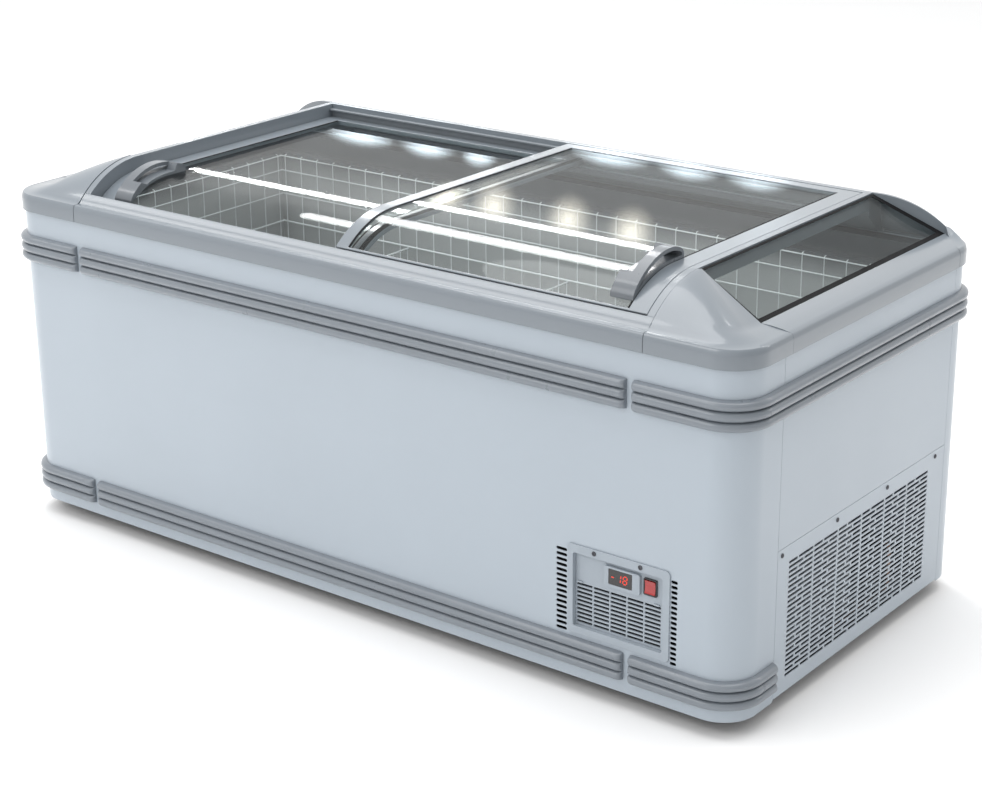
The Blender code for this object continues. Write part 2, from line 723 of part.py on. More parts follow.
def build_end_glass():
    """Sloping pane at each end, a trapezium 4 mm thick."""
    run = Vector((GLASS_FOOT_X - CAP_X, 0, GLASS_FOOT_Z - ROOF_TOP))
    normal = Vector((-run.z, 0, run.x)).normalized()
    head_x, foot_x = CAP_X + 0.003, GLASS_FOOT_X - 0.001
    slope = run.z / run.x
    for side, sign in (("left", -1), ("right", 1)):
        rings = []
        for depth in (0.001, 0.001 + PANE):
            ring = []
            for x, edges in ((head_x, GLASS_HEAD_Y), (foot_x, GLASS_FOOT_Y)):
                z = ROOF_TOP + (x - CAP_X) * slope
                inset = 0.001
                pair = [edges[0] + inset, edges[1] - inset]
                if x == foot_x:
                    pair.reverse()
                ring += [(sign * (x - normal.x * depth), y, z - normal.z * depth) for y in pair]
            rings.append(ring)
        add_object(f"end_glass_{side}", loft(rings), GLASS)


def build_tracks():
    """Two-step extrusions that carry the lids."""
    length = SIDE_FRAME_INNER - GAP
    web, ledge = 0.002, 0.003
    y = FRONT_RIM_INNER + 0.0003
    upper, lower = 0.7275, 0.7075
    front = [(y, RIM_FLOOR), (-0.356, RIM_FLOOR), (-0.356, lower + ledge), (y + web, lower + ledge),
             (y + web, upper), (-0.3765, upper), (-0.3765, upper + ledge), (y, upper + ledge)]
    add_object("track_front", prism(front, "x", -length, length), BRIGHT_METAL)
    y = REAR_RIM_INNER - 0.0003
    upper, lower = 0.7765, 0.7475
    rear = [(y, lower), (0.338, lower), (0.338, lower + ledge), (y - web, lower + ledge),
            (y - web, upper), (0.347, upper), (0.347, upper + ledge), (y, upper + ledge)]
    add_object("track_rear", prism(rear, "x", -length, length), BRIGHT_METAL)


def build_lamp():
    lamp = box((-0.60, 0.336, 0.736), (0.60, 0.357, 0.7468))
    add_object("lamp_strip", lamp, LAMP)


# ---------------------------------------------------------------- lids

def lid_rows(foot, drop):
    rows = arch_rows(foot, drop)
    level = ROOF_TOP - drop
    return rows + [(LID_REAR - LID_BAR_REAR, level, 0, 1), (LID_REAR, level, 0, 1)]


def build_lid(side, left, right, bars, foot, drop, depth, pivot):
    """Frame and pane. bars are the widths of the frame's left and right members."""
    rows = lid_rows(foot, drop)
    first = arch_row(foot + 2, drop)
    rows = [rows[0], first] + rows[1:]
    xs = [left, left + bars[0], right - bars[1], right]
    last = len(rows) - 2

    def is_frame(column, row):
        return column != 1 or row in (0, last)

    frame = sheet(xs, rows, [0.0] * len(rows), [-depth] * len(rows), is_frame)
    add_object(f"lid_frame_{side}", frame, RIM_PLASTIC, pivot.location, pivot)
    pane_rows = rows[1:-1]
    y, z, ny, nz = pane_rows[0]
    pane_rows[0] = (y + nz * GAP, z - ny * GAP, ny, nz)
    y, z, ny, nz = pane_rows[-1]
    pane_rows[-1] = (y - GAP, z, ny, nz)
    count = len(pane_rows)
    pane_xs = [xs[1] + GAP, xs[2] - GAP]
    pane = sheet(pane_xs, pane_rows, [-PANE_SINK] * count, [-PANE_SINK - PANE] * count)
    add_object(f"lid_glass_{side}", pane, GLASS, pivot.location, pivot)


def handle_point(angle, out, drop):
    """Point above a lid's surface; past 90 degrees it runs on along the flat part."""
    y, z, ny, nz = arch_row(min(angle, 90), drop)
    along = math.radians(max(0, angle - 90)) * (ARCH_RADIUS - drop)
    return (y + ny * out + along, z + nz * out)


def hump(share, rise):
    """Height of the grip's top along the handle, steep at the foot and round at the top."""
    return rise * math.sin(math.pi * share ** 1.73) ** 0.32


def build_handle(side, sign, drop, rise, span, pivot):
    """Bridge-shaped grip along the outer edge of a base with a block at each end."""
    start, stop = span
    base = HANDLE_BASE

    def curve(shares, height):
        return [handle_point(start + (stop - start) * share, height(share), drop) for share in shares]

    steps = 12
    shares = [0.02, 0.07] + [0.07 + 0.93 * (i / steps) for i in range(1, steps)] + [0.99]
    low_shares = [i / 8 for i in range(9)]
    outline = curve(low_shares, lambda share: HANDLE_BOTTOM)
    outline += curve(shares[::-1], lambda share: hump(share, rise))
    x_in, x_split, x_out = (sign * x for x in (HANDLE_INNER, GRIP_INNER, HANDLE_OUTER))
    handle = add_object(f"lid_handle_{side}", prism(outline, "x", *sorted((x_in, x_out))), RIM_PLASTIC,
                        pivot.location, pivot)
    floor_shares = [0.11 + 0.85 * i / 8 for i in range(9)]
    hole = curve(floor_shares, lambda share: base)
    hole += curve(floor_shares[::-1], lambda share: max(base + 0.001, hump(share, rise) - GRIP_THICKNESS))
    reach = sorted((x_split - sign * 0.0005, x_out + sign * 0.01))
    add_boolean(handle, prism(hole, "x", *reach), f"lid_handle_{side}_hole")
    scoop_shares = [0.36 + 0.46 * i / 5 for i in range(6)]
    scoop = curve(scoop_shares, lambda share: base - 0.0004)
    scoop += curve((0.90, 0.26), lambda share: 0.06)
    reach = sorted((x_split, x_in - sign * 0.01))
    add_boolean(handle, prism(scoop, "x", *reach), f"lid_handle_{side}_scoop")


def build_lids():
    left_pivot = add_pivot("lid_left_pivot", (-LID_EDGE / 2, 0, ROOF_TOP - LID_DROP))
    right_pivot = add_pivot("lid_right_pivot", (LID_EDGE / 2, 0, ROOF_TOP))
    build_lid("left", -LID_EDGE, LOWER_LID_RIGHT, (LID_BAR_OUTER, LID_BAR_INNER),
              LOWER_FOOT_ANGLE, LID_DROP, LOWER_LID_DEPTH, left_pivot)
    build_lid("right", UPPER_LID_LEFT, LID_EDGE, (LID_BAR_INNER, LID_BAR_OUTER),
              UPPER_FOOT_ANGLE, 0.0, UPPER_LID_DEPTH, right_pivot)
    build_handle("left", -1, LID_DROP, LEFT_GRIP_RISE, (52.5, 105.5), left_pivot)
    build_handle("right", 1, 0.0, GRIP_RISE, (54.5, 100.0), right_pivot)


# ---------------------------------------------------------------- bumpers

def bumper_profile(low, high):
    """Section of (distance out, height): three rounded ribs on a flat back."""
    ribs, proud, valley = 3, BUMPER_PROUD, 0.010
    pitch = (high - low) / ribs
    points = [(0.0004, low)]
    for rib in range(ribs):
        z = low + rib * pitch
        points += [(valley if rib else 0.008, z + (0.0008 if rib else 0.0)),
                   (proud, z + 0.3 * pitch), (proud, z + 0.7 * pitch)]
    points += [(0.008, high), (0.0004, high)]
    return points


def add_bumper(name, path, heights, flip=False):
    profile = bumper_profile(*heights)
    rings = []
    for x, y, nx, ny in path:
        ring = [(x + nx * d, y + ny * d, z) for d, z in profile]
        if flip:
            ring = [(-px, py, pz) for px, py, pz in ring]
        rings.append(ring)
    add_object(name, loft(rings), BUMPER_RUBBER)


def build_bumpers():
    right_stop, right_start = BUMPER_GAP_RIGHT
    left_stop, left_start = BUMPER_GAP_LEFT
    front, rear = -HALF_DEPTH, HALF_DEPTH
    front_strip = [(-left_stop, front, 0, -1), (right_stop, front, 0, -1)]
    rear_strip = [(-left_stop, rear, 0, 1), (right_stop, rear, 0, 1)]
    add_bumper("bumper_upper_front", front_strip, UPPER_BUMPER)
    add_bumper("bumper_upper_rear", rear_strip, UPPER_BUMPER)
    add_bumper("bumper_lower_front", front_strip, LOWER_BUMPER)
    for side, start in (("right", right_start), ("left", left_start)):
        front_corner = [(start, front, 0, -1)] + corner_points(-1)
        end_strip = front_corner + corner_points(1) + [(start, rear, 0, 1)]
        front_corner.append((HALF_LENGTH, SEAM_FRONT - SEAM_GAP, 1, 0))
        add_bumper(f"bumper_upper_{side}", end_strip, UPPER_BUMPER, side == "left")
        add_bumper(f"bumper_lower_{side}", front_corner, LOWER_BUMPER, side == "left")


# ---------------------------------------------------------------- control panel

def build_control_panel():
    face = -HALF_DEPTH
    proud, tray_back = 0.003, face + RECESS_DEPTH + 0.002
    bezel = add_object("control_bezel", box((PANEL_X[0], face - proud, PANEL_Z[0]),
                                            (PANEL_X[1], face - 0.0003, PANEL_Z[1])), PANEL_PLASTIC)
    wall = 0.0025
    sleeve = box((RECESS_X[0] - wall, face - 0.001, RECESS_Z[0] - wall),
                 (RECESS_X[1] + wall, tray_back, RECESS_Z[1] + wall))
    add_boolean(bezel, sleeve, "control_bezel_sleeve", "UNION")
    hole = box((RECESS_X[0], face - 0.02, RECESS_Z[0]), (RECESS_X[1], face + 0.05, RECESS_Z[1]))
    add_boolean(bezel, hole, "control_bezel_hole")
    plate_front = face + RECESS_DEPTH - 0.0015
    inset = 0.0004
    plate = add_object("control_plate", box((RECESS_X[0] + inset, plate_front, RECESS_Z[0] + inset),
                                            (RECESS_X[1] - inset, tray_back, RECESS_Z[1] - inset)),
                       PANEL_PLASTIC)
    columns, rows = 5, 10
    low_x, high_x, low_z, high_z = 0.5600, 0.7395, 0.1385, 0.2170
    web, bar = 0.003, 0.003
    width = (high_x - low_x + web) / columns
    pitch = (high_z - low_z + bar) / rows
    cuts = []
    for column in range(columns):
        for row in range(rows):
            x, z = low_x + column * width, low_z + row * pitch
            cuts.append(((x, plate_front - 0.01, z),
                         (x + width - web, tray_back + 0.01, z + pitch - bar)))
    controller_x, controller_z = (0.6215, 0.6980), (0.2290, 0.2690)
    switch_x, switch_z = (0.7045, 0.7325), (0.2340, 0.2665)
    lip = 0.002
    for span_x, span_z in ((controller_x, controller_z), (switch_x, switch_z)):
        cuts.append(((span_x[0] + lip, plate_front - 0.01, span_z[0] + lip),
                     (span_x[1] - lip, tray_back + 0.01, span_z[1] - lip)))
    add_boolean(plate, boxes(cuts), "control_plate_slots")
    build_controller(plate_front, controller_x, controller_z)
    build_switch(plate_front, switch_x, switch_z)


def build_controller(plate_front, span_x, span_z):
    """Temperature controller: a housing with a sunk display window."""
    front, back = plate_front - 0.006, plate_front - 0.0004
    housing = add_object("controller_housing", box((span_x[0], front, span_z[0]),
                                                   (span_x[1], back, span_z[1])), PANEL_PLASTIC)
    margin_x, margin_z, inset = (0.010, 0.016), (0.006, 0.004), 0.0004
    low_x, high_x = span_x[0] + margin_x[0], span_x[1] - margin_x[1]
    low_z, high_z = span_z[0] + margin_z[0], span_z[1] - margin_z[1]
    pocket = box((low_x, front - 0.01, low_z), (high_x, front + 0.003, high_z))
    add_boolean(housing, pocket, "controller_housing_pocket")
    window = box((low_x + inset, front + 0.0004, low_z + inset),
                 (high_x - inset, front + 0.0026, high_z - inset))
    add_object("display_window", window, DARK_PLASTIC)


def build_switch(plate_front, span_x, span_z):
    """Rocker switch: a black frame and a red rocker that tips about its middle."""
    front, back = plate_front - 0.0035, plate_front - 0.0004
    frame = add_object("switch_frame", box((span_x[0], front, span_z[0]),
                                           (span_x[1], back, span_z[1])), DARK_PLASTIC)
    wall = 0.0025
    hole = box((span_x[0] + wall, front - 0.01, span_z[0] + wall),
               (span_x[1] - wall, back + 0.01, span_z[1] - wall))
    add_boolean(frame, hole, "switch_frame_hole")
    middle_z = (span_z[0] + span_z[1]) / 2
    half = (span_z[1] - span_z[0]) / 2 - wall - 0.0012
    outline = [(front + 0.0022, middle_z - half), (front - 0.0016, middle_z - half),
               (front + 0.0004, middle_z), (front - 0.0016, middle_z + half),
               (front + 0.0022, middle_z + half)]
    clear = 0.0006
    pivot = ((span_x[0] + span_x[1]) / 2, front + 0.0022, middle_z)
    rocker = prism(outline, "x", span_x[0] + wall + clear, span_x[1] - wall - clear)
    add_object("rocker_switch", rocker, RED_PLASTIC, pivot)


# ---------------------------------------------------------------- machine bay

def build_compressor():
    shell = [(0.070, 0.0), (0.092, 0.004), (0.092, 0.012), (0.088, 0.014), (0.088, 0.120),
             (0.080, 0.148), (0.055, 0.166), (0.020, 0.172)]
    add_object("compressor", turned(shell, (0.60, 0.17, 0.0345), steps=20), BLACK_STEEL)


def build_condenser():
    """Finned block behind the service grille; the fins are one comb-shaped section."""
    fins, low, high = 14, -0.25, 0.05
    pitch = (high - low) / fins
    outline = []
    for i in range(fins):
        y = low + i * pitch
        outline += [(0.872, y), (0.872, y + 0.4 * pitch), (0.842, y + 0.4 * pitch), (0.842, y + pitch)]
    outline[-1] = (0.842, high - 0.6 * pitch)
    outline = outline[:-1] + [(0.832, high - 0.6 * pitch), (0.832, low)]
    add_object("condenser", prism(outline, "z", 0.070, 0.290), BRIGHT_METAL)


FAN_CENTRE = (0.795, -0.10, 0.180)


def build_fan():
    """Axial fan that draws air through the condenser; it turns about X."""
    cx, cy, cz = FAN_CENTRE
    steps, hole, half = 24, 0.098, 0.105
    rings = []
    for i in range(steps):
        angle = 2 * math.pi * i / steps
        ca, sa = math.cos(angle), math.sin(angle)
        square = half / max(abs(ca), abs(sa))
        ring = []
        for reach, x in ((square, 0.822), (hole, 0.822), (hole, 0.780), (hole + 0.004, 0.780),
                         (hole + 0.004, 0.819), (square, 0.819)):
            ring.append((x, cy + reach * ca, cz + reach * sa))
        rings.append(ring)
    add_object("fan_shroud", loft(rings, closed=True), BLACK_STEEL)
    motor = [(0.012, -0.105), (0.036, -0.100), (0.036, -0.036), (0.010, -0.032), (0.004, -0.0305),
             (0.004, -0.0165)]
    add_object("fan_motor", turned(motor, FAN_CENTRE, axis="x", steps=12), BLACK_STEEL)
    blades, hub, reach = 5, 0.026, 0.090
    layers = []
    for x, twist in ((-0.016, -0.26), (0.010, 0.0)):
        ring = []
        for blade in range(blades):
            base = 2 * math.pi * blade / blades
            for radius, shift in ((hub, 0.0), (reach * 0.7, 0.12 + twist), (reach, 0.26 + twist),
                                  (reach, 0.62 + twist), (reach * 0.7, 0.62 + twist), (hub, 0.75)):
                angle = base + shift
                ring.append((cx + x, cy + radius * math.cos(angle), cz + radius * math.sin(angle)))
        layers.append(ring)
    add_object("fan_blade", loft(layers), BRIGHT_METAL, FAN_CENTRE)


# ---------------------------------------------------------------- inside the tub

def build_wire_guard():
    """Wire panels round the tub's walls, as thin sheets with the step cut out below."""
    reach_x, reach_y = LINER_X - GUARD_CLEAR, LINER_Y - GUARD_CLEAR
    low, step_low = LINER_FLOOR + 0.020, STEP_FLOOR + 0.010
    outline = [(-reach_x, low), (STEP_X - 0.010, low), (STEP_X - 0.010, step_low),
               (reach_x, step_low), (reach_x, GUARD_TOP), (-reach_x, GUARD_TOP)]
    guard = add_object("wire_guard", prism(outline, "y", -reach_y, reach_y), BRIGHT_METAL)
    inner_x, inner_y = reach_x - WIRE_SHEET, reach_y - WIRE_SHEET
    hollow = box((-inner_x, -inner_y, 0.0), (inner_x, inner_y, 0.8))
    add_boolean(guard, hollow, "wire_guard_hollow")
    for name, x in zip(("divider_left", "divider_centre"), DIVIDER_X):
        half = WIRE_SHEET / 2
        panel = box((x - half, -inner_y + 0.002, low + 0.005), (x + half, inner_y - 0.002, DIVIDER_TOP))
        add_object(name, panel, BRIGHT_METAL)


def build_freezer():
    clear_scene()
    build_front_panel()
    build_rear_panel()
    build_end_panels()
    build_service_grille()
    build_grille_screws()
    build_base_tray()
    build_insulation()
    build_liner()
    build_evaporator()
    build_feet()
    build_front_rim()
    build_rear_rim()
    build_corner_caps()
    build_end_rails()
    build_side_frames()
    build_end_glass()
    build_tracks()
    build_lamp()
    build_lids()
    build_bumpers()
    build_control_panel()
    build_compressor()
    build_condenser()
    build_fan()
    build_wire_guard()


build_freezer()
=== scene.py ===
"""Glass-top island chest freezer: the looks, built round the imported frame.

Metres, +Z up, front towards -Y, machine bay at the +X end.
"""
import math

import bmesh
import bpy
from mathutils import Matrix, Quaternion, Vector


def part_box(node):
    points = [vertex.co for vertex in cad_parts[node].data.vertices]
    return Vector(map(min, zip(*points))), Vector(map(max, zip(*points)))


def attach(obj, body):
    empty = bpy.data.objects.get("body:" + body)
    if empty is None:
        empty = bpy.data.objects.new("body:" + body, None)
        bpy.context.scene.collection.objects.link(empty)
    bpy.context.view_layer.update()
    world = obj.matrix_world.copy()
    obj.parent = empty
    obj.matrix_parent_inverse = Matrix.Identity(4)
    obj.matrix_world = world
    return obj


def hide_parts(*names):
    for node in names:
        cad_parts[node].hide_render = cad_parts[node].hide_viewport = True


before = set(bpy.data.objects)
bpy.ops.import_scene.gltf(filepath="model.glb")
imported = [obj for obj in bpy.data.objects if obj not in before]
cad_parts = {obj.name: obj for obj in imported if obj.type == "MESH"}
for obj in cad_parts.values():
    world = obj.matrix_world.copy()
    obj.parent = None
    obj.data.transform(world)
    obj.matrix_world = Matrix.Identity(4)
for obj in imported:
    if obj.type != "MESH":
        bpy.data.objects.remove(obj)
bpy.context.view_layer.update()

# ---------------------------------------------------------------- shared sizes

FRONT_LOW, FRONT_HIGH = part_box("front_panel")
HALF_LENGTH = FRONT_HIGH.x
HALF_DEPTH = -FRONT_LOW.y
SKIRT_BOTTOM, PANEL_TOP = FRONT_LOW.z, FRONT_HIGH.z
SEAM_FRONT = FRONT_HIGH.y
SEAM_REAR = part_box("rear_panel")[0].y
SEAM_GAP = 0.0008
CORNER_RADIUS = 0.069
SKIN = 0.002
GAP = 0.0005
SEAM = 0.0012

RIM_LOW, RIM_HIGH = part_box("rim_front")
CAP_X = RIM_HIGH.x
RIM_BOTTOM = RIM_LOW.z
RIM_PROUD = -RIM_LOW.y - HALF_DEPTH
RIM_TOP = 0.710
RIM_SHOULDER = 0.7175
RIM_FLOOR = 0.7045
RIM_SHARE = 0.29
FRONT_RIM_INNER = RIM_HIGH.y
REAR_RIM_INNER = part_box("rim_rear")[0].y

ARCH_Y = -0.250
ARCH_RADIUS = 0.210
ROOF_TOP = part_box("side_frame_left")[1].z
ARCH_Z = ROOF_TOP - ARCH_RADIUS
SIDE_FRAME_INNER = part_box("side_frame_right")[0].x
SIDE_FRAME_DEPTH = 0.034
SIDE_FOOT_ANGLE = 46
REAR_ARCH_Y = 0.3725
REAR_ARCH_REACH = 0.045
REAR_ARCH_Z = 0.695
REAR_ARCH_RISE = ROOF_TOP - REAR_ARCH_Z
REAR_CREST_RADIUS = 0.2175

GLASS_FOOT_X = 0.8415
GLASS_FOOT_Z = 0.7235
GLASS_FOOT_Y = (-0.278, 0.403)
GLASS_HEAD_Y = (-0.2526, 0.3667)
PANE = 0.004
PANE_SINK = 0.0015

LID_DROP = 0.028
LID_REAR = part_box("lid_frame_left")[1].y
LID_BAR_REAR = 0.026
LID_BAR_OUTER = 0.039
LID_BAR_INNER = 0.028
LOWER_FOOT_ANGLE, UPPER_FOOT_ANGLE = 50, 49

BUMPER_PROUD = 0.0147
BUMPER_BACK = 0.0004
BUMPER_GROOVE = 0.0045


# ---------------------------------------------------------------- mesh tools

def new_object(name, data):
    """Object linked to the scene."""
    made = bpy.data.objects.new(name, data)
    bpy.context.scene.collection.objects.link(made)
    return made


def add_piece(name, bm, body, material, replaces=(), angle=35, bevel=0.0, segments=2):
    """Turn a bmesh into a smooth-shaded piece that rides on a body."""
    bmesh.ops.recalc_face_normals(bm, faces=bm.faces)
    if bm.calc_volume(signed=True) < 0:
        bmesh.ops.reverse_faces(bm, faces=bm.faces)
    mesh = bpy.data.meshes.new(name)
    bm.to_mesh(mesh)
    bm.free()
    mesh.shade_smooth()
    mesh.set_sharp_from_angle(angle=math.radians(angle))
    piece = new_object(name, mesh)
    mesh.materials.append(material)
    if bevel:
        add_bevel(piece, bevel, segments, angle)
    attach(piece, body)
    if replaces:
        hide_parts(*replaces)
    return piece


def add_bevel(piece, width, segments=2, angle=35):
    bevel = piece.modifiers.new("edge_rounding", "BEVEL")
    bevel.width = width
    bevel.segments = segments
    bevel.limit_method = "ANGLE"
    bevel.angle_limit = math.radians(angle)
    bevel.harden_normals = True


def cut(bm, cutter, operation="DIFFERENCE"):
    """Boolean of two closed bmeshes; returns the result."""
    made = []
    for name, part in (("cut_body", bm), ("cut_tool", cutter)):
        bmesh.ops.recalc_face_normals(part, faces=part.faces)
        mesh = bpy.data.meshes.new(name)
        part.to_mesh(mesh)
        part.free()
        made.append(new_object(name, mesh))
    body, tool = made
    modifier = body.modifiers.new("cut", "BOOLEAN")
    modifier.object = tool
    modifier.solver = "EXACT"
    modifier.operation = operation
    graph = bpy.context.evaluated_depsgraph_get()
    result = bmesh.new()
    result.from_mesh(body.evaluated_get(graph).to_mesh())
    for piece in made:
        mesh = piece.data
        bpy.data.objects.remove(piece)
        bpy.data.meshes.remove(mesh)
    return result


def loft(rings, closed=False, folded=False):
    bm = bmesh.new()
    loops = [[bm.verts.new(point) for point in ring] for ring in rings]
    size = len(loops[0])
    pairs = list(zip(loops, loops[1:]))
    if closed:
        pairs.append((loops[-1], loops[0]))
    elif folded:
        for loop in (loops[0], loops[-1]):
            for i in range(size // 2 - 1):
                bm.faces.new((loop[i], loop[i + 1], loop[-2 - i], loop[-1 - i]))
    else:
        bm.faces.new(loops[0][::-1])
        bm.faces.new(loops[-1])
    for first, second in pairs:
        for i in range(size):
            j = (i + 1) % size
            bm.faces.new((first[i], first[j], second[j], second[i]))
    return bm


def prism(outline, axis, low, high):
    def place(a, b, along):
        return {"x": (along, a, b), "y": (a, along, b), "z": (a, b, along)}[axis]
    return loft([[place(a, b, along) for a, b in outline] for along in (low, high)])


def box(low, high):
    (x0, y0, z0), (x1, y1, z1) = low, high
    return prism([(x0, y0), (x1, y0), (x1, y1), (x0, y1)], "z", z0, z1)


def joined(parts):
    """One bmesh from several."""
    whole = bmesh.new()
    for part in parts:
        mesh = bpy.data.meshes.new("part")
        part.to_mesh(mesh)
        part.free()
        whole.from_mesh(mesh)
        bpy.data.meshes.remove(mesh)
    return whole


def spread(start, stop, steps):
    """Evenly spaced values, both ends included."""
    return [start + (stop - start) * i / steps for i in range(steps + 1)]


def rounded_rectangle(x0, x1, z0, z1, radius, steps=5):
    outline = []
    corners = ((x1 - radius, z1 - radius, 0), (x0 + radius, z1 - radius, 90),
               (x0 + radius, z0 + radius, 180), (x1 - radius, z0 + radius, 270))
    for cx, cz, start in corners:
        for degrees in spread(start, start + 90, steps):
            angle = math.radians(degrees)
            outline.append((cx + radius * math.cos(angle), cz + radius * math.sin(angle)))
    return outline


def slab(x0, x1, z0, z1, radius, front, back, steps=5):
    """Rounded rectangle in X and Z, from one Y to another."""
    return prism(rounded_rectangle(x0, x1, z0, z1, radius, steps), "y", front, back)


def flipped(rings):
    return [[(-x, y, z) for x, y, z in ring] for ring in rings]


def tube(path, radius, sides=8):
    """Round wire along a polyline, mitred at its corners."""
    points = [Vector(p) for p in path]
    rings = []
    up = None
    for i, point in enumerate(points):
        before = (point - points[i - 1]).normalized() if i else None
        after = (points[i + 1] - point).normalized() if i + 1 < len(points) else None
        if before is None or after is None:
            along = before or after
        else:
            along = (before + after).normalized()
        if up is None:
            up = along.orthogonal().normalized()
        up = (up - along * up.dot(along)).normalized()
        side = along.cross(up)
        reach = radius if before is None else radius / max(0.5, along.dot(before))
        rings.append([point + (up * math.cos(2 * math.pi * k / sides)
                               + side * math.sin(2 * math.pi * k / sides)) * reach
                      for k in range(sides)])
    return loft(rings)


def turned(profile, centre, axis="z", steps=32):
    centre = Vector(centre)
    rings = []
    for radius, height in profile:
        ring = []
        for i in range(steps):
            angle = 2 * math.pi * i / steps
            a, b = radius * math.cos(angle), radius * math.sin(angle)
            ring.append(centre + Vector({"x": (height, a, b), "y": (a, height, b),
                                         "z": (a, b, height)}[axis]))
        rings.append(ring)
    return loft(rings)


def sheet(xs, rows, top, bottom, solid=None):
    """Thick sheet over a grid of x stations and (y, z, ny, nz) rows; solid() picks cells."""
    bm = bmesh.new()
    made = {}

    def vertex(i, j, upper):
        key = (i, j, upper)
        if key not in made:
            y, z, ny, nz = rows[j]
            height = (top if upper else bottom)[j]
            made[key] = bm.verts.new((xs[i], y + ny * height, z + nz * height))
        return made[key]

    def filled(i, j):
        inside = 0 <= i < len(xs) - 1 and 0 <= j < len(rows) - 1
        return inside and (solid is None or solid(i, j))

    for i in range(len(xs) - 1):
        for j in range(len(rows) - 1):
            if not filled(i, j):
                continue
            square = [(i, j), (i + 1, j), (i + 1, j + 1), (i, j + 1)]
            bm.faces.new([vertex(a, b, True) for a, b in square])
            bm.faces.new([vertex(a, b, False) for a, b in reversed(square)])
            beside = ((i, j - 1), (i + 1, j), (i, j + 1), (i - 1, j))
            for k, neighbour in enumerate(beside):
                if not filled(*neighbour):
                    a, b = square[k], square[(k + 1) % 4]
                    bm.faces.new([vertex(*a, True), vertex(*a, False),
                                  vertex(*b, False), vertex(*b, True)])
    return bm


# ---------------------------------------------------------------- cabinet outlines

def corner_points(quadrant, steps=18):
    """Right-hand corner as (x, y, nx, ny): -1 the front one, 1 the rear one."""
    base = -90 if quadrant < 0 else 0
    centre_x = HALF_LENGTH - CORNER_RADIUS
    centre_y = quadrant * (HALF_DEPTH - CORNER_RADIUS)
    points = []
    for degrees in spread(base, base + 90, steps):
        nx, ny = math.cos(math.radians(degrees)), math.sin(math.radians(degrees))
        points.append((centre_x + CORNER_RADIUS * nx, centre_y + CORNER_RADIUS * ny, nx, ny))
    return points


def mirrored(path):
    return [(-x, y, -nx, ny) for x, y, nx, ny in reversed(path)]


def skin_outline(path, thickness):
    outer = [(x, y) for x, y, nx, ny in path]
    inner = [(x - nx * thickness, y - ny * thickness) for x, y, nx, ny in path]
    return outer + inner[::-1]


def arch_row(degrees, drop=0.0):
    angle = math.radians(degrees)
    radius = ARCH_RADIUS - drop
    ny, nz = -math.cos(angle), math.sin(angle)
    return (ARCH_Y + radius * ny, ARCH_Z + radius * nz, ny, nz)


def arch_rows(start, drop=0.0, steps=24):
    return [arch_row(degrees, drop) for degrees in spread(start, 90, steps)]


def arch_height(y):
    if y > ARCH_Y:
        return ROOF_TOP
    return ARCH_Z + math.sqrt(ARCH_RADIUS ** 2 - (ARCH_Y - y) ** 2)


def rear_arch(start, steps=16):
    """Back of the rear rim, from the given angle up to its crest."""
    angles = [math.radians(degrees) for degrees in spread(start, 90, steps)]
    return [(REAR_ARCH_Y + REAR_ARCH_REACH * math.cos(angle),
             REAR_ARCH_Z + REAR_ARCH_RISE * math.sin(angle)) for angle in angles]


# ---------------------------------------------------------------- materials

def add_node(tree, kind, values=None):
    """Shader node with the given values on its inputs."""
    node = tree.nodes.new("ShaderNode" + kind)
    for socket, value in (values or {}).items():
        node.inputs[socket].default_value = value
    return node


def surface(tree):
    return tree.nodes["Principled BSDF"].inputs


def new_material(name, colour, roughness, metallic=0.0, coat=0.0, coat_roughness=0.15):
    material = bpy.data.materials.new(name)
    material.use_nodes = True
    values = {"Base Color": (*colour, 1.0), "Roughness": roughness, "Metallic": metallic,
              "Coat Weight": coat, "Coat Roughness": coat_roughness}
    for socket, value in values.items():
        surface(material.node_tree)[socket].default_value = value
    return material


def noise_node(tree, scale, detail=3.0, stretch=(1, 1, 1)):
    coordinates = add_node(tree, "TexCoord")
    mapping = add_node(tree, "Mapping", {"Scale": stretch})
    noise = add_node(tree, "TexNoise", {"Scale": scale, "Detail": detail})
    tree.links.new(coordinates.outputs["Object"], mapping.inputs["Vector"])
    tree.links.new(mapping.outputs["Vector"], noise.inputs["Vector"])
    return noise


def ramp_node(tree, source, low, high, span=(0.3, 0.7)):
    ramp = add_node(tree, "ValToRGB")
    for element, place, colour in zip(ramp.color_ramp.elements, span, (low, high)):
        element.position = place
        element.color = (*colour, 1.0)
    tree.links.new(source, ramp.inputs["Fac"])
    return ramp.outputs["Color"]


def range_node(tree, source, span, result):
    """Map a value from one range to another."""
    node = add_node(tree, "MapRange", {"From Min": span[0], "From Max": span[1],
                                       "To Min": result[0], "To Max": result[1]})
    tree.links.new(source, node.inputs["Value"])
    return node


def shade(colour, factor):
    return tuple(min(1.0, channel * factor) for channel in colour)


def add_mottle(material, colour, amount, scale, detail=3.0, stretch=(1, 1, 1)):
    """Let the base colour drift a little over the surface."""
    tree = material.node_tree
    noise = noise_node(tree, scale, detail, stretch)
    tones = (shade(colour, 1 - amount), shade(colour, 1 + amount))
    tone = ramp_node(tree, noise.outputs["Fac"], *tones)
    tree.links.new(tone, surface(tree)["Base Color"])


def add_roughness(material, low, high, scale, stretch=(1, 1, 1)):
    tree = material.node_tree
    noise = noise_node(tree, scale, 4.0, stretch)
    span = range_node(tree, noise.outputs["Fac"], (0.3, 0.7), (low, high))
    tree.links.new(span.outputs["Result"], surface(tree)["Roughness"])


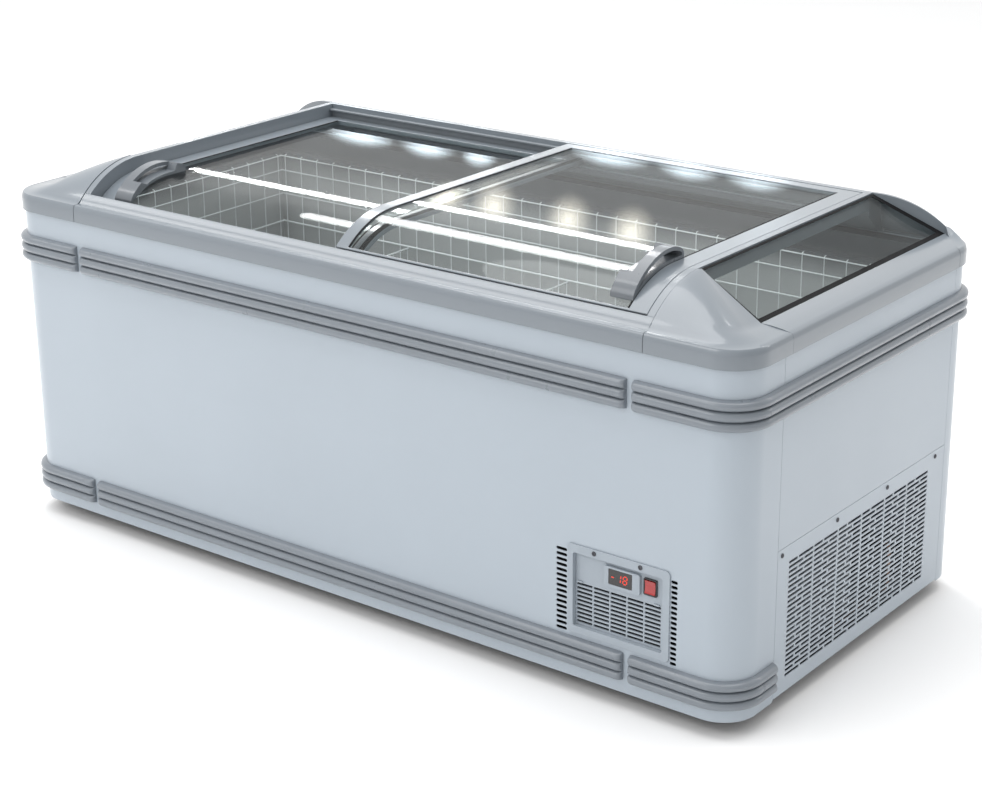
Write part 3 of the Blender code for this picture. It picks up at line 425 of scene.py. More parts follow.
def add_bump(material, scale, strength, distance=0.0005, detail=2.0, stretch=(1, 1, 1)):
    tree = material.node_tree
    noise = noise_node(tree, scale, detail, stretch)
    bump = add_node(tree, "Bump", {"Strength": strength, "Distance": distance})
    tree.links.new(noise.outputs["Fac"], bump.inputs["Height"])
    tree.links.new(bump.outputs["Normal"], surface(tree)["Normal"])


def painted(name, colour, roughness=0.32, peel=0.10):
    """Powder-coated sheet: faint orange peel and a slow drift in colour and gloss."""
    material = new_material(name, colour, roughness, coat=0.25, coat_roughness=0.12)
    add_mottle(material, colour, 0.018, 2.2)
    add_roughness(material, roughness - 0.04, roughness + 0.06, 6.0)
    add_bump(material, 420.0, peel, 0.0003)
    return material


def moulded(name, colour, roughness=0.35, grain=0.12, scale=900.0, coat=0.0, mottle=0.03,
            drift=1.0):
    """Moulded plastic with a fine grain; drift scales how far its gloss wanders."""
    material = new_material(name, colour, roughness, coat=coat, coat_roughness=0.10)
    add_mottle(material, colour, mottle, 14.0)
    add_roughness(material, roughness - 0.05 * drift, roughness + 0.07 * drift, 30.0)
    add_bump(material, scale, grain, 0.0002)
    return material


def brushed(name, colour, roughness=0.28, stretch=(1, 40, 40)):
    """Metal with fine lines along one axis."""
    material = new_material(name, colour, roughness, metallic=1.0)
    add_mottle(material, colour, 0.06, 30.0, 4.0, stretch)
    add_roughness(material, roughness - 0.08, roughness + 0.12, 40.0, stretch)
    add_bump(material, 60.0, 0.08, 0.0002, 3.0, stretch)
    return material


def math_node(tree, operation, first, second, clamp=True):
    node = add_node(tree, "Math")
    node.operation = operation
    node.use_clamp = clamp
    for socket, value in zip(node.inputs, (first, second)):
        if isinstance(value, (int, float)):
            socket.default_value = value
        else:
            tree.links.new(value, socket)
    return node.outputs["Value"]


def bare_material(name):
    """Material whose node tree has only its output."""
    material = bpy.data.materials.new(name)
    material.use_nodes = True
    tree = material.node_tree
    tree.nodes.remove(tree.nodes["Principled BSDF"])
    return material, tree


def pane_material(name, tint, base=0.018, glance=0.30, film=0.012):
    """Clear sheet: passes light straight through and mirrors more at a glancing angle."""
    material, tree = bare_material(name)
    clear = add_node(tree, "BsdfTransparent", {"Color": (*tint, 1.0)})
    mirror = add_node(tree, "BsdfGlossy", {"Color": (1.0, 1.0, 1.0, 1.0), "Roughness": 0.015})
    weight = add_node(tree, "LayerWeight", {"Blend": 0.5})
    glancing = math_node(tree, "POWER", weight.outputs["Facing"], 5.0)
    glancing = math_node(tree, "MULTIPLY", glancing, glance)
    smear = noise_node(tree, 1.7, 5.0, (1.0, 0.35, 1.0))
    dust = math_node(tree, "MULTIPLY", smear.outputs["Fac"], film)
    share = math_node(tree, "ADD", math_node(tree, "ADD", glancing, base), dust)
    mix = add_node(tree, "MixShader")
    tree.links.new(share, mix.inputs["Fac"])
    tree.links.new(clear.outputs["BSDF"], mix.inputs[1])
    tree.links.new(mirror.outputs["BSDF"], mix.inputs[2])
    tree.links.new(mix.outputs["Shader"], tree.nodes["Material Output"].inputs["Surface"])
    return material


def paint_shade_upwards(material, lower, upper, low, high):
    """Painted shade: let the base colour pass from a lit tone to a shaded one with height."""
    tree = material.node_tree
    geometry = add_node(tree, "NewGeometry")
    parts = add_node(tree, "SeparateXYZ")
    tree.links.new(geometry.outputs["Position"], parts.inputs["Vector"])
    span = range_node(tree, parts.outputs["Z"], (low, high), (0.0, 1.0))
    span.interpolation_type = "SMOOTHSTEP"
    tone = ramp_node(tree, span.outputs["Result"], lower, upper, (0.0, 1.0))
    tree.links.new(tone, surface(tree)["Base Color"])


def glowing(name, colour, strength):
    material = new_material(name, shade(colour, 0.3), 0.4)
    values = surface(material.node_tree)
    values["Emission Color"].default_value = (*colour, 1.0)
    values["Emission Strength"].default_value = strength
    add_roughness(material, 0.3, 0.5, 50.0)
    return material


BODY = painted("body_coat", (0.378, 0.428, 0.478))
RIM_TONE = (0.180, 0.206, 0.232)
RIM = moulded("rim_grey", RIM_TONE, 0.28, 0.0, 700.0, coat=0.7, mottle=0.006, drift=0.1)
LID_GREY = moulded("lid_grey", RIM_TONE, 0.28, 0.0, 700.0, coat=0.7, mottle=0.006, drift=0.1)
GRIP = moulded("grip_grey", (0.118, 0.133, 0.149), 0.32, 0.08, 900.0, coat=0.5)
BUMPER = moulded("bumper_grey", (0.182, 0.205, 0.232), 0.32, 0.05, 650.0, coat=0.5)
PANEL = moulded("panel_grey", (0.33, 0.372, 0.415), 0.42, 0.18, 1100.0)
DARK = moulded("black_plastic", (0.018, 0.018, 0.020), 0.38, 0.15, 900.0)
GASKET = moulded("black_gasket", (0.006, 0.006, 0.007), 0.60, 0.10, 500.0)
surface(GASKET.node_tree)["Specular IOR Level"].default_value = 0.15
RED = moulded("red_plastic", (0.36, 0.006, 0.006), 0.14, 0.03, 500.0, coat=0.9)
# Painted shade: the liner is pale grey low down and turns near black towards its top, where the
# rim and rails shade it.
LINER_PAINTED_SHADE = painted("liner_grey_painted_shade", (0.33, 0.345, 0.36), 0.45, 0.05)
paint_shade_upwards(LINER_PAINTED_SHADE, (0.420, 0.425, 0.433), (0.050, 0.055, 0.064), 0.585, 0.675)
WIRE = moulded("white_wire", (0.74, 0.76, 0.78), 0.30, 0.10, 900.0)
ALUMINIUM = brushed("track_metal", (0.30, 0.31, 0.33), 0.42)
# Painted shade: a darker copy of the rim grey for faces that lie in shade under the rear rim and
# rails.
PAINTED_SHADE_GREY = moulded("painted_shade_grey", (0.170, 0.190, 0.210), 0.50, 0.03, 700.0)
BLACK_STEEL = painted("black_steel", (0.015, 0.015, 0.016), 0.45, 0.20)
FINS = brushed("fin_metal", (0.55, 0.57, 0.58), 0.35, (20, 1, 20))
COPPER = brushed("copper_tube", (0.32, 0.17, 0.11), 0.30, (20, 20, 20))
# Painted shade: the insulation is near black so that the machine bay reads dark through the grille
# slots.
PAINTED_SHADE_FOAM = moulded("foam", (0.045, 0.043, 0.040), 0.90, 0.8, 300.0)
DARK_STEEL = brushed("dark_screw_metal", (0.10, 0.10, 0.11), 0.30, (8, 8, 8))
LAMP = glowing("lamp_diffuser", (0.20, 0.22, 0.25), 0.10)
GLASS = pane_material("clear_glass", (0.965, 0.985, 0.980))
END_GLASS = pane_material("end_glass", (0.90, 0.925, 0.92))
DISPLAY = new_material("display_black", (0.010, 0.008, 0.008), 0.08, coat=0.6, coat_roughness=0.03)
add_roughness(DISPLAY, 0.05, 0.14, 60.0)
DIGIT = glowing("digit_red", (1.0, 0.06, 0.03), 0.75)


# ---------------------------------------------------------------- body skins

PANEL_LOW, PANEL_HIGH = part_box("control_bezel")
PLATE_LOW, PLATE_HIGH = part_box("control_plate")
VENT_HEIGHT = 0.0062
VENT_ROWS = ((16, PANEL_LOW.x - 0.0260, PANEL_LOW.x - 0.0022, 0.1205, 0.2765),
             (17, PANEL_HIGH.x + 0.0010, PANEL_HIGH.x + 0.0145, 0.1192, 0.2758))
OPENING_MARGIN = 0.0045


def slot_cutters():
    """Vent slots each side of the control panel, with round ends, and the panel's opening."""
    near, far = -HALF_DEPTH - 0.01, -HALF_DEPTH + 0.01
    half, margin = VENT_HEIGHT / 2, OPENING_MARGIN
    parts = []
    for count, x0, x1, z0, z1 in VENT_ROWS:
        for z in spread(z0, z1, count - 1):
            parts.append(slab(x0, x1, z - half, z + half, VENT_HEIGHT * 0.49, near, far, 4))
    parts.append(slab(PLATE_LOW.x - margin, PLATE_HIGH.x + margin, PLATE_LOW.z - margin,
                      PLATE_HIGH.z + margin, 0.004, near, far))
    return joined(parts)


def build_skins():
    front = [(HALF_LENGTH, SEAM_FRONT, 1, 0)] + corner_points(-1)[::-1]
    rear = [(HALF_LENGTH, SEAM_REAR, 1, 0)] + corner_points(1)
    for name, right, bevel in (("front", front, 0.0), ("rear", rear, 0.0006)):
        outline = skin_outline(right + mirrored(right), SKIN)
        skin = prism(outline, "z", SKIRT_BOTTOM, PANEL_TOP)
        if name == "front":
            skin = cut(skin, slot_cutters())
        add_piece(f"{name}_skin", skin, "cabinet", BODY, [f"{name}_panel"],
                  32, bevel)


GRILLE_Y, GRILLE_Z = (-0.252, 0.273), (0.064, 0.290)
GRILLE_COLUMNS, GRILLE_COURSES = 6, 24
GRILLE_WEB, GRILLE_BAR = 0.0045, 0.0040
LONG_SHARE = 0.62


def grille_stripes(low_y, high_y):
    """Edges of the plate's stripes along Y, and what each stripe holds."""
    width = (GRILLE_Y[1] - GRILLE_Y[0] + GRILLE_WEB) / GRILLE_COLUMNS
    span = width - GRILLE_WEB
    first = span * (1 - LONG_SHARE) - GRILLE_WEB / 2
    second = span * LONG_SHARE - GRILLE_WEB / 2
    steps = (0, first, first + GRILLE_WEB, second, second + GRILLE_WEB, span)
    ys, kinds = [low_y], []
    for column in range(GRILLE_COLUMNS):
        ys += [GRILLE_Y[0] + column * width + step for step in steps]
        kinds += ["solid", "slot", "first", "slot", "second", "slot"]
    return ys + [high_y], kinds + ["solid"]


def build_service_grille():
    """Plate with staggered slots: each course of each column has a long and a short one."""
    low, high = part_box("service_grille")
    ys, kinds = grille_stripes(low.y, high.y)
    pitch = (GRILLE_Z[1] - GRILLE_Z[0] + GRILLE_BAR) / GRILLE_COURSES
    zs = [low.z]
    for course in range(GRILLE_COURSES):
        z = GRILLE_Z[0] + course * pitch
        zs += [z, z + pitch - GRILLE_BAR]
    zs.append(high.z)

    def solid(i, j):
        if j % 2 == 0 or kinds[i] == "solid":
            return True
        return kinds[i] == ("first" if (j // 2) % 2 else "second")

    flat = [(z, 0.0, 0.0, 1.0) for z in zs]
    plate = sheet(ys, flat, [high.x] * len(zs), [low.x] * len(zs), solid)
    for vertex in plate.verts:
        y, z, x = vertex.co
        vertex.co = (x, y, z)
    add_piece("service_grille_plate", plate, "cabinet", BODY,
              ["service_grille"], 30)


BEZEL_SCREW_X = (0.603, 0.7015)
BEZEL_SCREW_Z = 0.2863


def screw_mesh(radius, depth):
    """Domed pan head with a cross recess, standing on z = 0."""
    rim = 0.35
    dome = [(radius, 0.0), (radius, depth * rim)]
    for i in range(1, 6):
        angle = math.radians(18 * i)
        height = rim + (1 - rim) * math.sin(angle)
        dome.append((max(0.0002, radius * math.cos(angle)), depth * height))
    arm, half = radius * 0.62, radius * 0.13
    cross = [(half, half), (half, arm), (-half, arm), (-half, half), (-arm, half), (-arm, -half),
             (-half, -half), (-half, -arm), (half, -arm), (half, -half), (arm, -half), (arm, half)]
    return cut(turned(dome, (0, 0, 0), steps=24), prism(cross, "z", depth * 0.55, depth * 2))


def add_screw(name, place, facing, radius, depth, replaces=()):
    bm = screw_mesh(radius, depth)
    turn = facing.to_track_quat("Z", "Y").to_matrix().to_4x4()
    bmesh.ops.transform(bm, matrix=Matrix.Translation(place) @ turn, verts=bm.verts)
    add_piece(name, bm, "cabinet", DARK_STEEL, replaces, 30)


def build_screws():
    for i in range(1, 5):
        low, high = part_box(f"grille_screw_{i}")
        place = Vector((low.x, (low.y + high.y) / 2, (low.z + high.z) / 2))
        add_screw(f"grille_screw_head_{i}", place, Vector((1, 0, 0)), 0.0045, 0.0022,
                  [f"grille_screw_{i}"])
    for i, x in enumerate(BEZEL_SCREW_X, 1):
        place = Vector((x, PANEL_LOW.y + 0.0001, BEZEL_SCREW_Z))
        add_screw(f"bezel_screw_head_{i}", place, Vector((0, -1, 0)), 0.0046, 0.0022)


# ---------------------------------------------------------------- bumpers

def bumper_section(low, high, swell):
    """Three round ribs with deep grooves between; swell 0 to 1 lets the ends round off."""
    ribs, steps = 3, 12
    pitch = (high - low) / ribs
    points = [(BUMPER_BACK, low)]
    for rib in range(ribs):
        for i in range(steps + 1):
            angle = math.pi * (0.02 + 0.96 * i / steps)
            outer_edge = (rib == 0 and i < steps / 2) or (rib == ribs - 1 and i > steps / 2)
            floor = 0.0006 if outer_edge else BUMPER_GROOVE
            out = floor + (BUMPER_PROUD - 0.0002 - floor) * math.sin(angle) ** 0.85
            z = low + pitch * (rib + 0.5 - 0.475 * math.cos(angle))
            points.append((BUMPER_BACK + (out - BUMPER_BACK) * swell, z))
    points.append((BUMPER_BACK, high))
    middle = (low + high) / 2
    squeeze = 0.90 + 0.10 * swell
    return [(out, middle + (z - middle) * squeeze) for out, z in points]


def dense(path, reach=0.010, steps=6):
    """Add stations near both ends of a path so that they can be rounded off."""
    def ease(first, second):
        a, b = Vector(first[:2]), Vector(second[:2])
        length = (b - a).length
        made = []
        for i in range(1, steps + 1):
            share = reach * (1 - math.cos(math.pi / 2 * i / steps)) / length
            made.append((*a.lerp(b, share), *first[2:]))
        return made
    head, tail = ease(path[0], path[1]), ease(path[-1], path[-2])
    return [path[0]] + head + path[1:-1] + tail[::-1] + [path[-1]]


def add_bumper(name, path, heights, node, flip=False):
    stations = dense(path)
    total = len(stations)
    rings = []
    for k, (x, y, nx, ny) in enumerate(stations):
        step = min(k, total - 1 - k, 6) / 6
        swell = 0.35 + 0.65 * math.sin(math.pi / 2 * step)
        ring = [(x + nx * d, y + ny * d, z) for d, z in bumper_section(*heights, swell)]
        rings.append(ring)
    rings = flipped(rings) if flip else rings
    add_piece(name, loft(rings), "cabinet", BUMPER, [node], 50)


def build_bumpers():
    for level in ("upper", "lower"):
        low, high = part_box(f"bumper_{level}_front")
        heights = (low.z, high.z)
        for end, y in (("front", -HALF_DEPTH), ("rear", HALF_DEPTH)):
            if (level, end) == ("lower", "rear"):
                continue
            strip = [(x, y, 0, math.copysign(1, y)) for x in (low.x, high.x)]
            add_bumper(f"{level}_strip_{end}", strip, heights, f"bumper_{level}_{end}")
        for side in ("right", "left"):
            node = f"bumper_{level}_{side}"
            low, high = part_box(node)
            start = low.x if side == "right" else -high.x
            path = [(start, -HALF_DEPTH, 0, -1)] + corner_points(-1)
            if level == "upper":
                path += corner_points(1) + [(start, HALF_DEPTH, 0, 1)]
            else:
                path.append((HALF_LENGTH, SEAM_FRONT - SEAM_GAP, 1, 0))
            add_bumper(f"{level}_strip_{side}", path, heights, node, side == "left")


# ---------------------------------------------------------------- top frame

RIM_INSET = 0.002
CAP_WALL = 0.005
REAR_RIM_LEDGE = (0.400, 0.742)
# Outer edge of the rim as (distance out, height): skirt, soft crease, shoulder.
RIM_NOSE = ((RIM_PROUD, RIM_BOTTOM), (RIM_PROUD, RIM_TOP - 0.004),
            (RIM_PROUD - 0.0006, RIM_TOP - 0.001), (RIM_PROUD - 0.0018, RIM_TOP + 0.0022),
            (0.0032, RIM_TOP + 0.0052), (0.001, RIM_SHOULDER))


def build_rim(end, outline):
    rim = prism(outline, "x", -CAP_X, CAP_X)
    return add_piece(f"{end}_rim", rim, "cabinet", RIM, [f"rim_{end}"], 38, 0.0006)


def build_rims():
    front_back, rear_back = -HALF_DEPTH - RIM_INSET, HALF_DEPTH + RIM_INSET
    nose = [(-HALF_DEPTH - d, z) for d, z in RIM_NOSE]
    ys = spread(nose[-1][0], FRONT_RIM_INNER, 8)[1:]
    band = [(y, max(RIM_SHOULDER, arch_height(y))) for y in ys]
    build_rim("front", nose + band + [(FRONT_RIM_INNER, RIM_FLOOR), (front_back, RIM_FLOOR),
                                      (front_back, RIM_BOTTOM)])
    nose = [(HALF_DEPTH + d, z) for d, z in RIM_NOSE]
    ledge_y, ledge_z = REAR_RIM_LEDGE
    inner = [(REAR_RIM_INNER, z) for z in (ROOF_TOP, ROOF_TOP - LID_DROP, ledge_z)]
    rear = build_rim("rear", nose + rear_arch(20)[1:] + inner + [
        (ledge_y, RIM_FLOOR), (rear_back, RIM_FLOOR), (rear_back, RIM_BOTTOM)])
    # Painted shade: the rear rim's lower inner faces take the darker painted shade grey.
    rear.data.materials.append(PAINTED_SHADE_GREY)
    for face in rear.data.polygons:
        middle = face.center
        if face.normal.y < -0.2 and middle.y < ledge_y + 0.01 and middle.z < ROOF_TOP - LID_DROP:
            face.material_index = 1


def front_rim_edge():
    """Outer rim points and normals of the front right-hand corner, from x = CAP_X to its seam."""
    points = corner_points(-1)
    first = [(CAP_X + SEAM + (points[0][0] - CAP_X) * i / 6, -HALF_DEPTH, 0, -1) for i in range(6)]
    last = [(HALF_LENGTH, y, 1, 0) for y in (-0.335, -0.318, -0.300, GLASS_FOOT_Y[0] - GAP)]
    return first + points + last


def blend(value):
    return value * value * (3 - 2 * value)


def front_height(share):
    y = -HALF_DEPTH + share * (GLASS_HEAD_Y[0] + HALF_DEPTH)
    return max(RIM_SHOULDER, arch_height(y))


def rear_fall(share):
    """How much of the height is left, from the crest (0) to the rear edge (1)."""
    y = GLASS_HEAD_Y[1] + share * (HALF_DEPTH - GLASS_HEAD_Y[1])
    lift = max(0.0, 1 - (max(0.0, y - REAR_ARCH_Y) / REAR_ARCH_REACH) ** 2)
    z = REAR_ARCH_Z + REAR_ARCH_RISE * math.sqrt(lift)
    return max(0.0, (z - RIM_SHOULDER) / (ROOF_TOP - RIM_SHOULDER))


def crest_height(x):
    """Height of the rear cap's round crest above the end glass's rear edge."""
    reach = max(0.0, x - CAP_X)
    if reach > REAR_CREST_RADIUS:
        return RIM_SHOULDER
    return ROOF_TOP - REAR_CREST_RADIUS + math.sqrt(REAR_CREST_RADIUS ** 2 - reach ** 2)


def slope_height(x):
    """Height of the end glass's plane, level past its foot."""
    share = min(1.0, (x - CAP_X) / (GLASS_FOOT_X - CAP_X))
    return ROOF_TOP + (GLASS_FOOT_Z - ROOF_TOP) * share


def end_height(share):
    """Height along the end: a nearly flat rim, then the slope beside the end glass."""
    if share < RIM_SHARE:
        return RIM_SHOULDER + (GLASS_FOOT_Z - RIM_SHOULDER) * share / RIM_SHARE
    return GLASS_FOOT_Z + (ROOF_TOP - GLASS_FOOT_Z) * (share - RIM_SHARE) / (1 - RIM_SHARE)


def end_bend(start, foot, tip, share):
    """How far the end seam, which bends at the glass's foot, lies off a straight line."""
    if share < RIM_SHARE:
        return start.lerp(foot, share / RIM_SHARE) - start.lerp(tip, share)
    return foot.lerp(tip, (share - RIM_SHARE) / (1 - RIM_SHARE)) - start.lerp(tip, share)


def cap_tip(apex_y, turn, radius=0.004):
    angle = turn * math.pi / 2
    return Vector((CAP_X + SEAM + radius * math.sin(angle),
                   apex_y - (GAP + radius * math.cos(angle))))


def path_shares(edge):
    """Share of the way along an edge path, by length."""
    lengths = [0.0]
    for first, second in zip(edge, edge[1:]):
        lengths.append(lengths[-1] + (Vector(second[:2]) - Vector(first[:2])).length)
    return [length / lengths[-1] for length in lengths]


def rim_side(x, y, nx, ny):
    """A cap's outer face up to the shoulder, and its hidden inner face."""
    outer = [(x + nx * d, y + ny * d, z) for d, z in RIM_NOSE[:-1]]
    heights = [RIM_BOTTOM] + [RIM_FLOOR - 0.001 * k for k in (3, 2, 1, 0)]
    return outer, [(x + nx * RIM_INSET, y + ny * RIM_INSET, z) for z in heights]


def front_cap_rings():
    """Sections of the front right-hand cap, each from the rim towards the apex."""
    apex_y, foot = GLASS_HEAD_Y[0], Vector((GLASS_FOOT_X, GLASS_FOOT_Y[0] - GAP))
    edge = front_rim_edge()
    x, y, nx, ny = edge[-1]
    last_start = Vector((x + nx * 0.001, y + ny * 0.001))
    last_tip = cap_tip(apex_y, 1.0)
    shares = spread(0, RIM_SHARE, 6) + spread(RIM_SHARE, 1, 18)[1:]
    rings = []
    for (x, y, nx, ny), along in zip(edge, path_shares(edge)):
        turn = blend(along)
        tip = cap_tip(apex_y, turn)
        start = Vector((x + nx * 0.001, y + ny * 0.001))
        bend = turn * end_bend(last_start, foot, last_tip, RIM_SHARE)
        inward = (tip - start + bend).normalized()
        if turn == 1:
            inward = (foot - start).normalized()
        outer, inner = rim_side(x, y, nx, ny)
        for i, share in enumerate(shares):
            plan = start.lerp(tip, share) + turn * end_bend(last_start, foot, last_tip, share)
            z = (1 - turn) * front_height(share) + turn * end_height(share)
            under = z - CAP_WALL - 0.004 * (1 - share)
            add_cap_point(outer, inner, plan, inward, share, z, under, i)
        rings.append(outer + inner[::-1])
    return rings


def add_cap_point(outer, inner, plan, inward, share, z, under, i):
    """Add a point of the cap's top and the one below it, inside the wall."""
    outer.append((plan.x, plan.y, z))
    low = plan + inward * CAP_WALL * (1 - share) ** 2
    inner.append((low.x, low.y, max(RIM_FLOOR + 0.0001 * i, under)))


def rear_cap_stations(along, corner):
    """(outer point and normal, inner point, turn) from x = CAP_X round to the end seam."""
    head = Vector((CAP_X + SEAM, GLASS_HEAD_Y[1] + GAP))
    foot = Vector((GLASS_FOOT_X + GAP, GLASS_FOOT_Y[1] + GAP))
    start_x, stop_x = CAP_X + SEAM, HALF_LENGTH - CORNER_RADIUS
    stations = []
    for i in range(along):
        share = i / along
        outer = (start_x + (stop_x - start_x) * share, HALF_DEPTH, 0, 1)
        stations.append((outer, head.lerp(foot, share), 0.0))
    round_corner = corner[::-1] + [(HALF_LENGTH, SEAM_REAR + 0.003, 1, 0),
                                   (HALF_LENGTH, SEAM_REAR + GAP, 1, 0)]
    radius = 0.0015
    for k, outer in enumerate(round_corner):
        turn = k / (len(round_corner) - 1)
        angle = math.pi / 2 * (1 - turn)
        inner = foot + Vector((math.cos(angle), math.sin(angle) - 1)) * radius * turn
        stations.append((outer, inner, turn))
    return stations


def rear_cap_rings():
    """Sections of the rear right-hand cap, a dome with an upright face beside the end glass."""
    steps = 24
    shares = [math.sin(math.pi / 2 * i / steps) ** 1.3 for i in range(steps + 1)]
    rings = []
    for (x, y, nx, ny), inner_end, turn in rear_cap_stations(24, corner_points(1)):
        start = Vector((x + nx * 0.001, y + ny * 0.001))
        inward = (inner_end - start).normalized()
        crest, seat = crest_height(inner_end.x), slope_height(inner_end.x)
        outer, inner = rim_side(x, y, nx, ny)
        for i, share in enumerate(shares):
            plan = start.lerp(inner_end, share)
            flat = RIM_SHOULDER + (seat - RIM_SHOULDER) * share
            dome = RIM_SHOULDER + (crest - RIM_SHOULDER) * rear_fall(1 - share)
            side = max(flat, crest_height(plan.x))
            z = flat if turn == 1 else (1 - blend(turn)) * dome + blend(turn) * side
            under = z - CAP_WALL - 0.004 * (1 - share) if share < 1 else seat - CAP_WALL
            add_cap_point(outer, inner, plan, inward, share, z, under, i)
        rings.append(outer + inner[::-1])
    return rings


def build_corner_caps():
    for end, rings in (("front", front_cap_rings()), ("rear", rear_cap_rings())):
        for side, made in (("right", rings), ("left", flipped(rings))):
            add_piece(f"{end}_cap_{side}", loft(made, folded=True), "cabinet", RIM,
                      [f"corner_cap_{end}_{side}"], 42)


def build_end_rails():
    """Straight rim along each end, cut slantwise where the rear cap starts."""
    foot_x = GLASS_FOOT_X + GAP
    back_x = HALF_LENGTH + RIM_INSET
    rings = []
    front, rear = GLASS_FOOT_Y
    for y, foot_y in ((front, front), (SEAM_REAR - GAP, rear - GAP)):
        ring = [(HALF_LENGTH + d, y, z) for d, z in RIM_NOSE]
        sx, sy, sz = ring[-1]
        for share in spread(0, 1, 6)[1:]:
            crown = 0.0018 * math.sin(math.pi * share)
            ring.append((sx + (foot_x - sx) * share, sy + (foot_y - sy) * share,
                         sz + (GLASS_FOOT_Z - sz) * share + crown))
        ring += [(foot_x, foot_y, GLASS_FOOT_Z - 0.010), (HALF_LENGTH - 0.003, y, RIM_FLOOR),
                 (back_x, y, RIM_FLOOR), (back_x, y, RIM_BOTTOM)]
        rings.append(ring)
    for side, made in (("right", rings), ("left", flipped(rings))):
        add_piece(f"end_rim_{side}", loft(made), "cabinet", RIM,
                  [f"end_rail_{side}"], 40)


def build_side_frames():
    front = FRONT_RIM_INNER + 0.0003
    start = math.degrees(math.acos((ARCH_Y - front) / ARCH_RADIUS))
    top = [(y, z) for y, z, _, _ in arch_rows(start)]
    drop = SIDE_FRAME_DEPTH
    under = [(y, z) for y, z, _, _ in arch_rows(SIDE_FOOT_ANGLE, drop, 12)]
    rear = REAR_RIM_INNER - 0.0003
    outline = [(front, RIM_FLOOR)] + top + [(rear, ROOF_TOP), (rear, ROOF_TOP - drop)]
    outline += under[::-1] + [(under[0][0], RIM_FLOOR)]
    for side, sign in (("left", -1), ("right", 1)):
        low, high = sorted((sign * SIDE_FRAME_INNER, sign * CAP_X))
        add_piece(f"side_cheek_{side}", prism(outline, "x", low, high), "cabinet", RIM,
                  [f"side_frame_{side}"], 30, 0.0012, 3)


def slope_point(sign, x, y, depth):
    """Point on the end glass's slope, moved inwards by depth."""
    run = Vector((GLASS_FOOT_X - CAP_X, 0, GLASS_FOOT_Z - ROOF_TOP))
    normal = Vector((-run.z, 0, run.x)).normalized()
    z = ROOF_TOP + (x - CAP_X) * run.z / run.x
    return (sign * (x - normal.x * depth), y, z - normal.z * depth)


def slope_edges(x):
    """Front and rear edge of the end glass at x."""
    share = (x - CAP_X) / (GLASS_FOOT_X - CAP_X)
    return [head + (foot - head) * share for head, foot in zip(GLASS_HEAD_Y, GLASS_FOOT_Y)]


def slope_loop(sign, x0, x1, margins, depth):
    """Four corners of a field on the slope, kept off the glass's front and rear edges."""
    points = []
    for x, order in ((x0, (0, 1)), (x1, (1, 0))):
        front, rear = slope_edges(x)
        pair = (front + margins[0], rear - margins[1])
        points += [slope_point(sign, x, pair[i], depth) for i in order]
    return points


def slope_frame(sign, x0, x1, inset, widths, top, bottom):
    """Flat frame lying on the slope, with widths for its head, foot, front and rear."""
    head, foot, front, rear = widths
    rings = []
    for share, depth in ((0, top), (1, top), (1, bottom), (0, bottom)):
        margins = (inset + front * share, inset + rear * share)
        rings.append(slope_loop(sign, x0 + head * share, x1 - foot * share, margins, depth))
    return loft(rings, closed=True)


END_SEAL_WIDTHS = (0.0045, 0.0085, 0.004, 0.013)
LID_SEAL = 0.0032


def build_end_glass():
    head_x, foot_x, inset = CAP_X + 0.003, GLASS_FOOT_X - 0.001, 0.001
    for side, sign in (("left", -1), ("right", 1)):
        rings = [slope_loop(sign, head_x, foot_x, (inset, inset), depth)
                 for depth in (0.0016, 0.0016 + PANE)]
        add_piece(f"end_pane_{side}", loft(rings), "cabinet", END_GLASS,
                  [f"end_glass_{side}"], 30)
        seal = slope_frame(sign, head_x, foot_x, inset, END_SEAL_WIDTHS, 0.0006, 0.0014)
        add_piece(f"end_seal_{side}", seal, "cabinet", GASKET, (), 30)


# ---------------------------------------------------------------- lids

def lid_rows(foot, drop, steps=24):
    rows = arch_rows(foot, drop, steps)
    level = ROOF_TOP - drop
    gaps = 6
    reach = LID_REAR - LID_BAR_REAR - ARCH_Y
    rows += [(ARCH_Y + reach * i / gaps, level, 0, 1) for i in range(1, gaps + 1)]
    return rows + [(LID_REAR, level, 0, 1)]


def lid_sheet(xs, rows, top, bottom, solid=None):
    """Sheet of even thickness that follows a lid's rows."""
    return sheet(xs, rows, [top] * len(rows), [bottom] * len(rows), solid)


def build_lid(side, bars, foot, drop, depth):
    body = f"lid_{side}"
    low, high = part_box(f"lid_frame_{side}")
    rows = lid_rows(foot, drop)
    first = arch_row(foot + 1.3, drop)
    rows = [rows[0], first] + [row for row in rows[1:] if row[1] > first[1]]
    xs = [low.x, low.x + bars[0], high.x - bars[1], high.x]
    last = len(rows) - 2

    def is_frame(column, row):
        return column != 1 or row in (0, last)

    rim = lid_sheet(xs, rows, 0.0, -depth, is_frame)
    add_piece(f"{body}_rim", rim, body, LID_GREY, [f"lid_frame_{side}"],
              50, 0.0014, 3)
    inner = rows[1:-1]
    y, z, ny, nz = inner[0]
    inner[0] = (y + nz * GAP, z - ny * GAP, ny, nz)
    y, z, ny, nz = inner[-1]
    inner[-1] = (y - GAP, z, ny, nz)
    x0, x1 = xs[1] + GAP, xs[2] - GAP
    pane = lid_sheet([x0, x1], inner, -PANE_SINK, -PANE_SINK - PANE)
    add_piece(f"{body}_pane", pane, body, GLASS, [f"lid_glass_{side}"], 50)
    for edge, ends in (("a", [x0, x0 + LID_SEAL]), ("b", [x1 - LID_SEAL, x1])):
        strip = lid_sheet(ends, inner, -0.0004, -PANE_SINK + 0.0001)
        add_piece(f"{body}_seal_{edge}", strip, body, GASKET, (), 50)


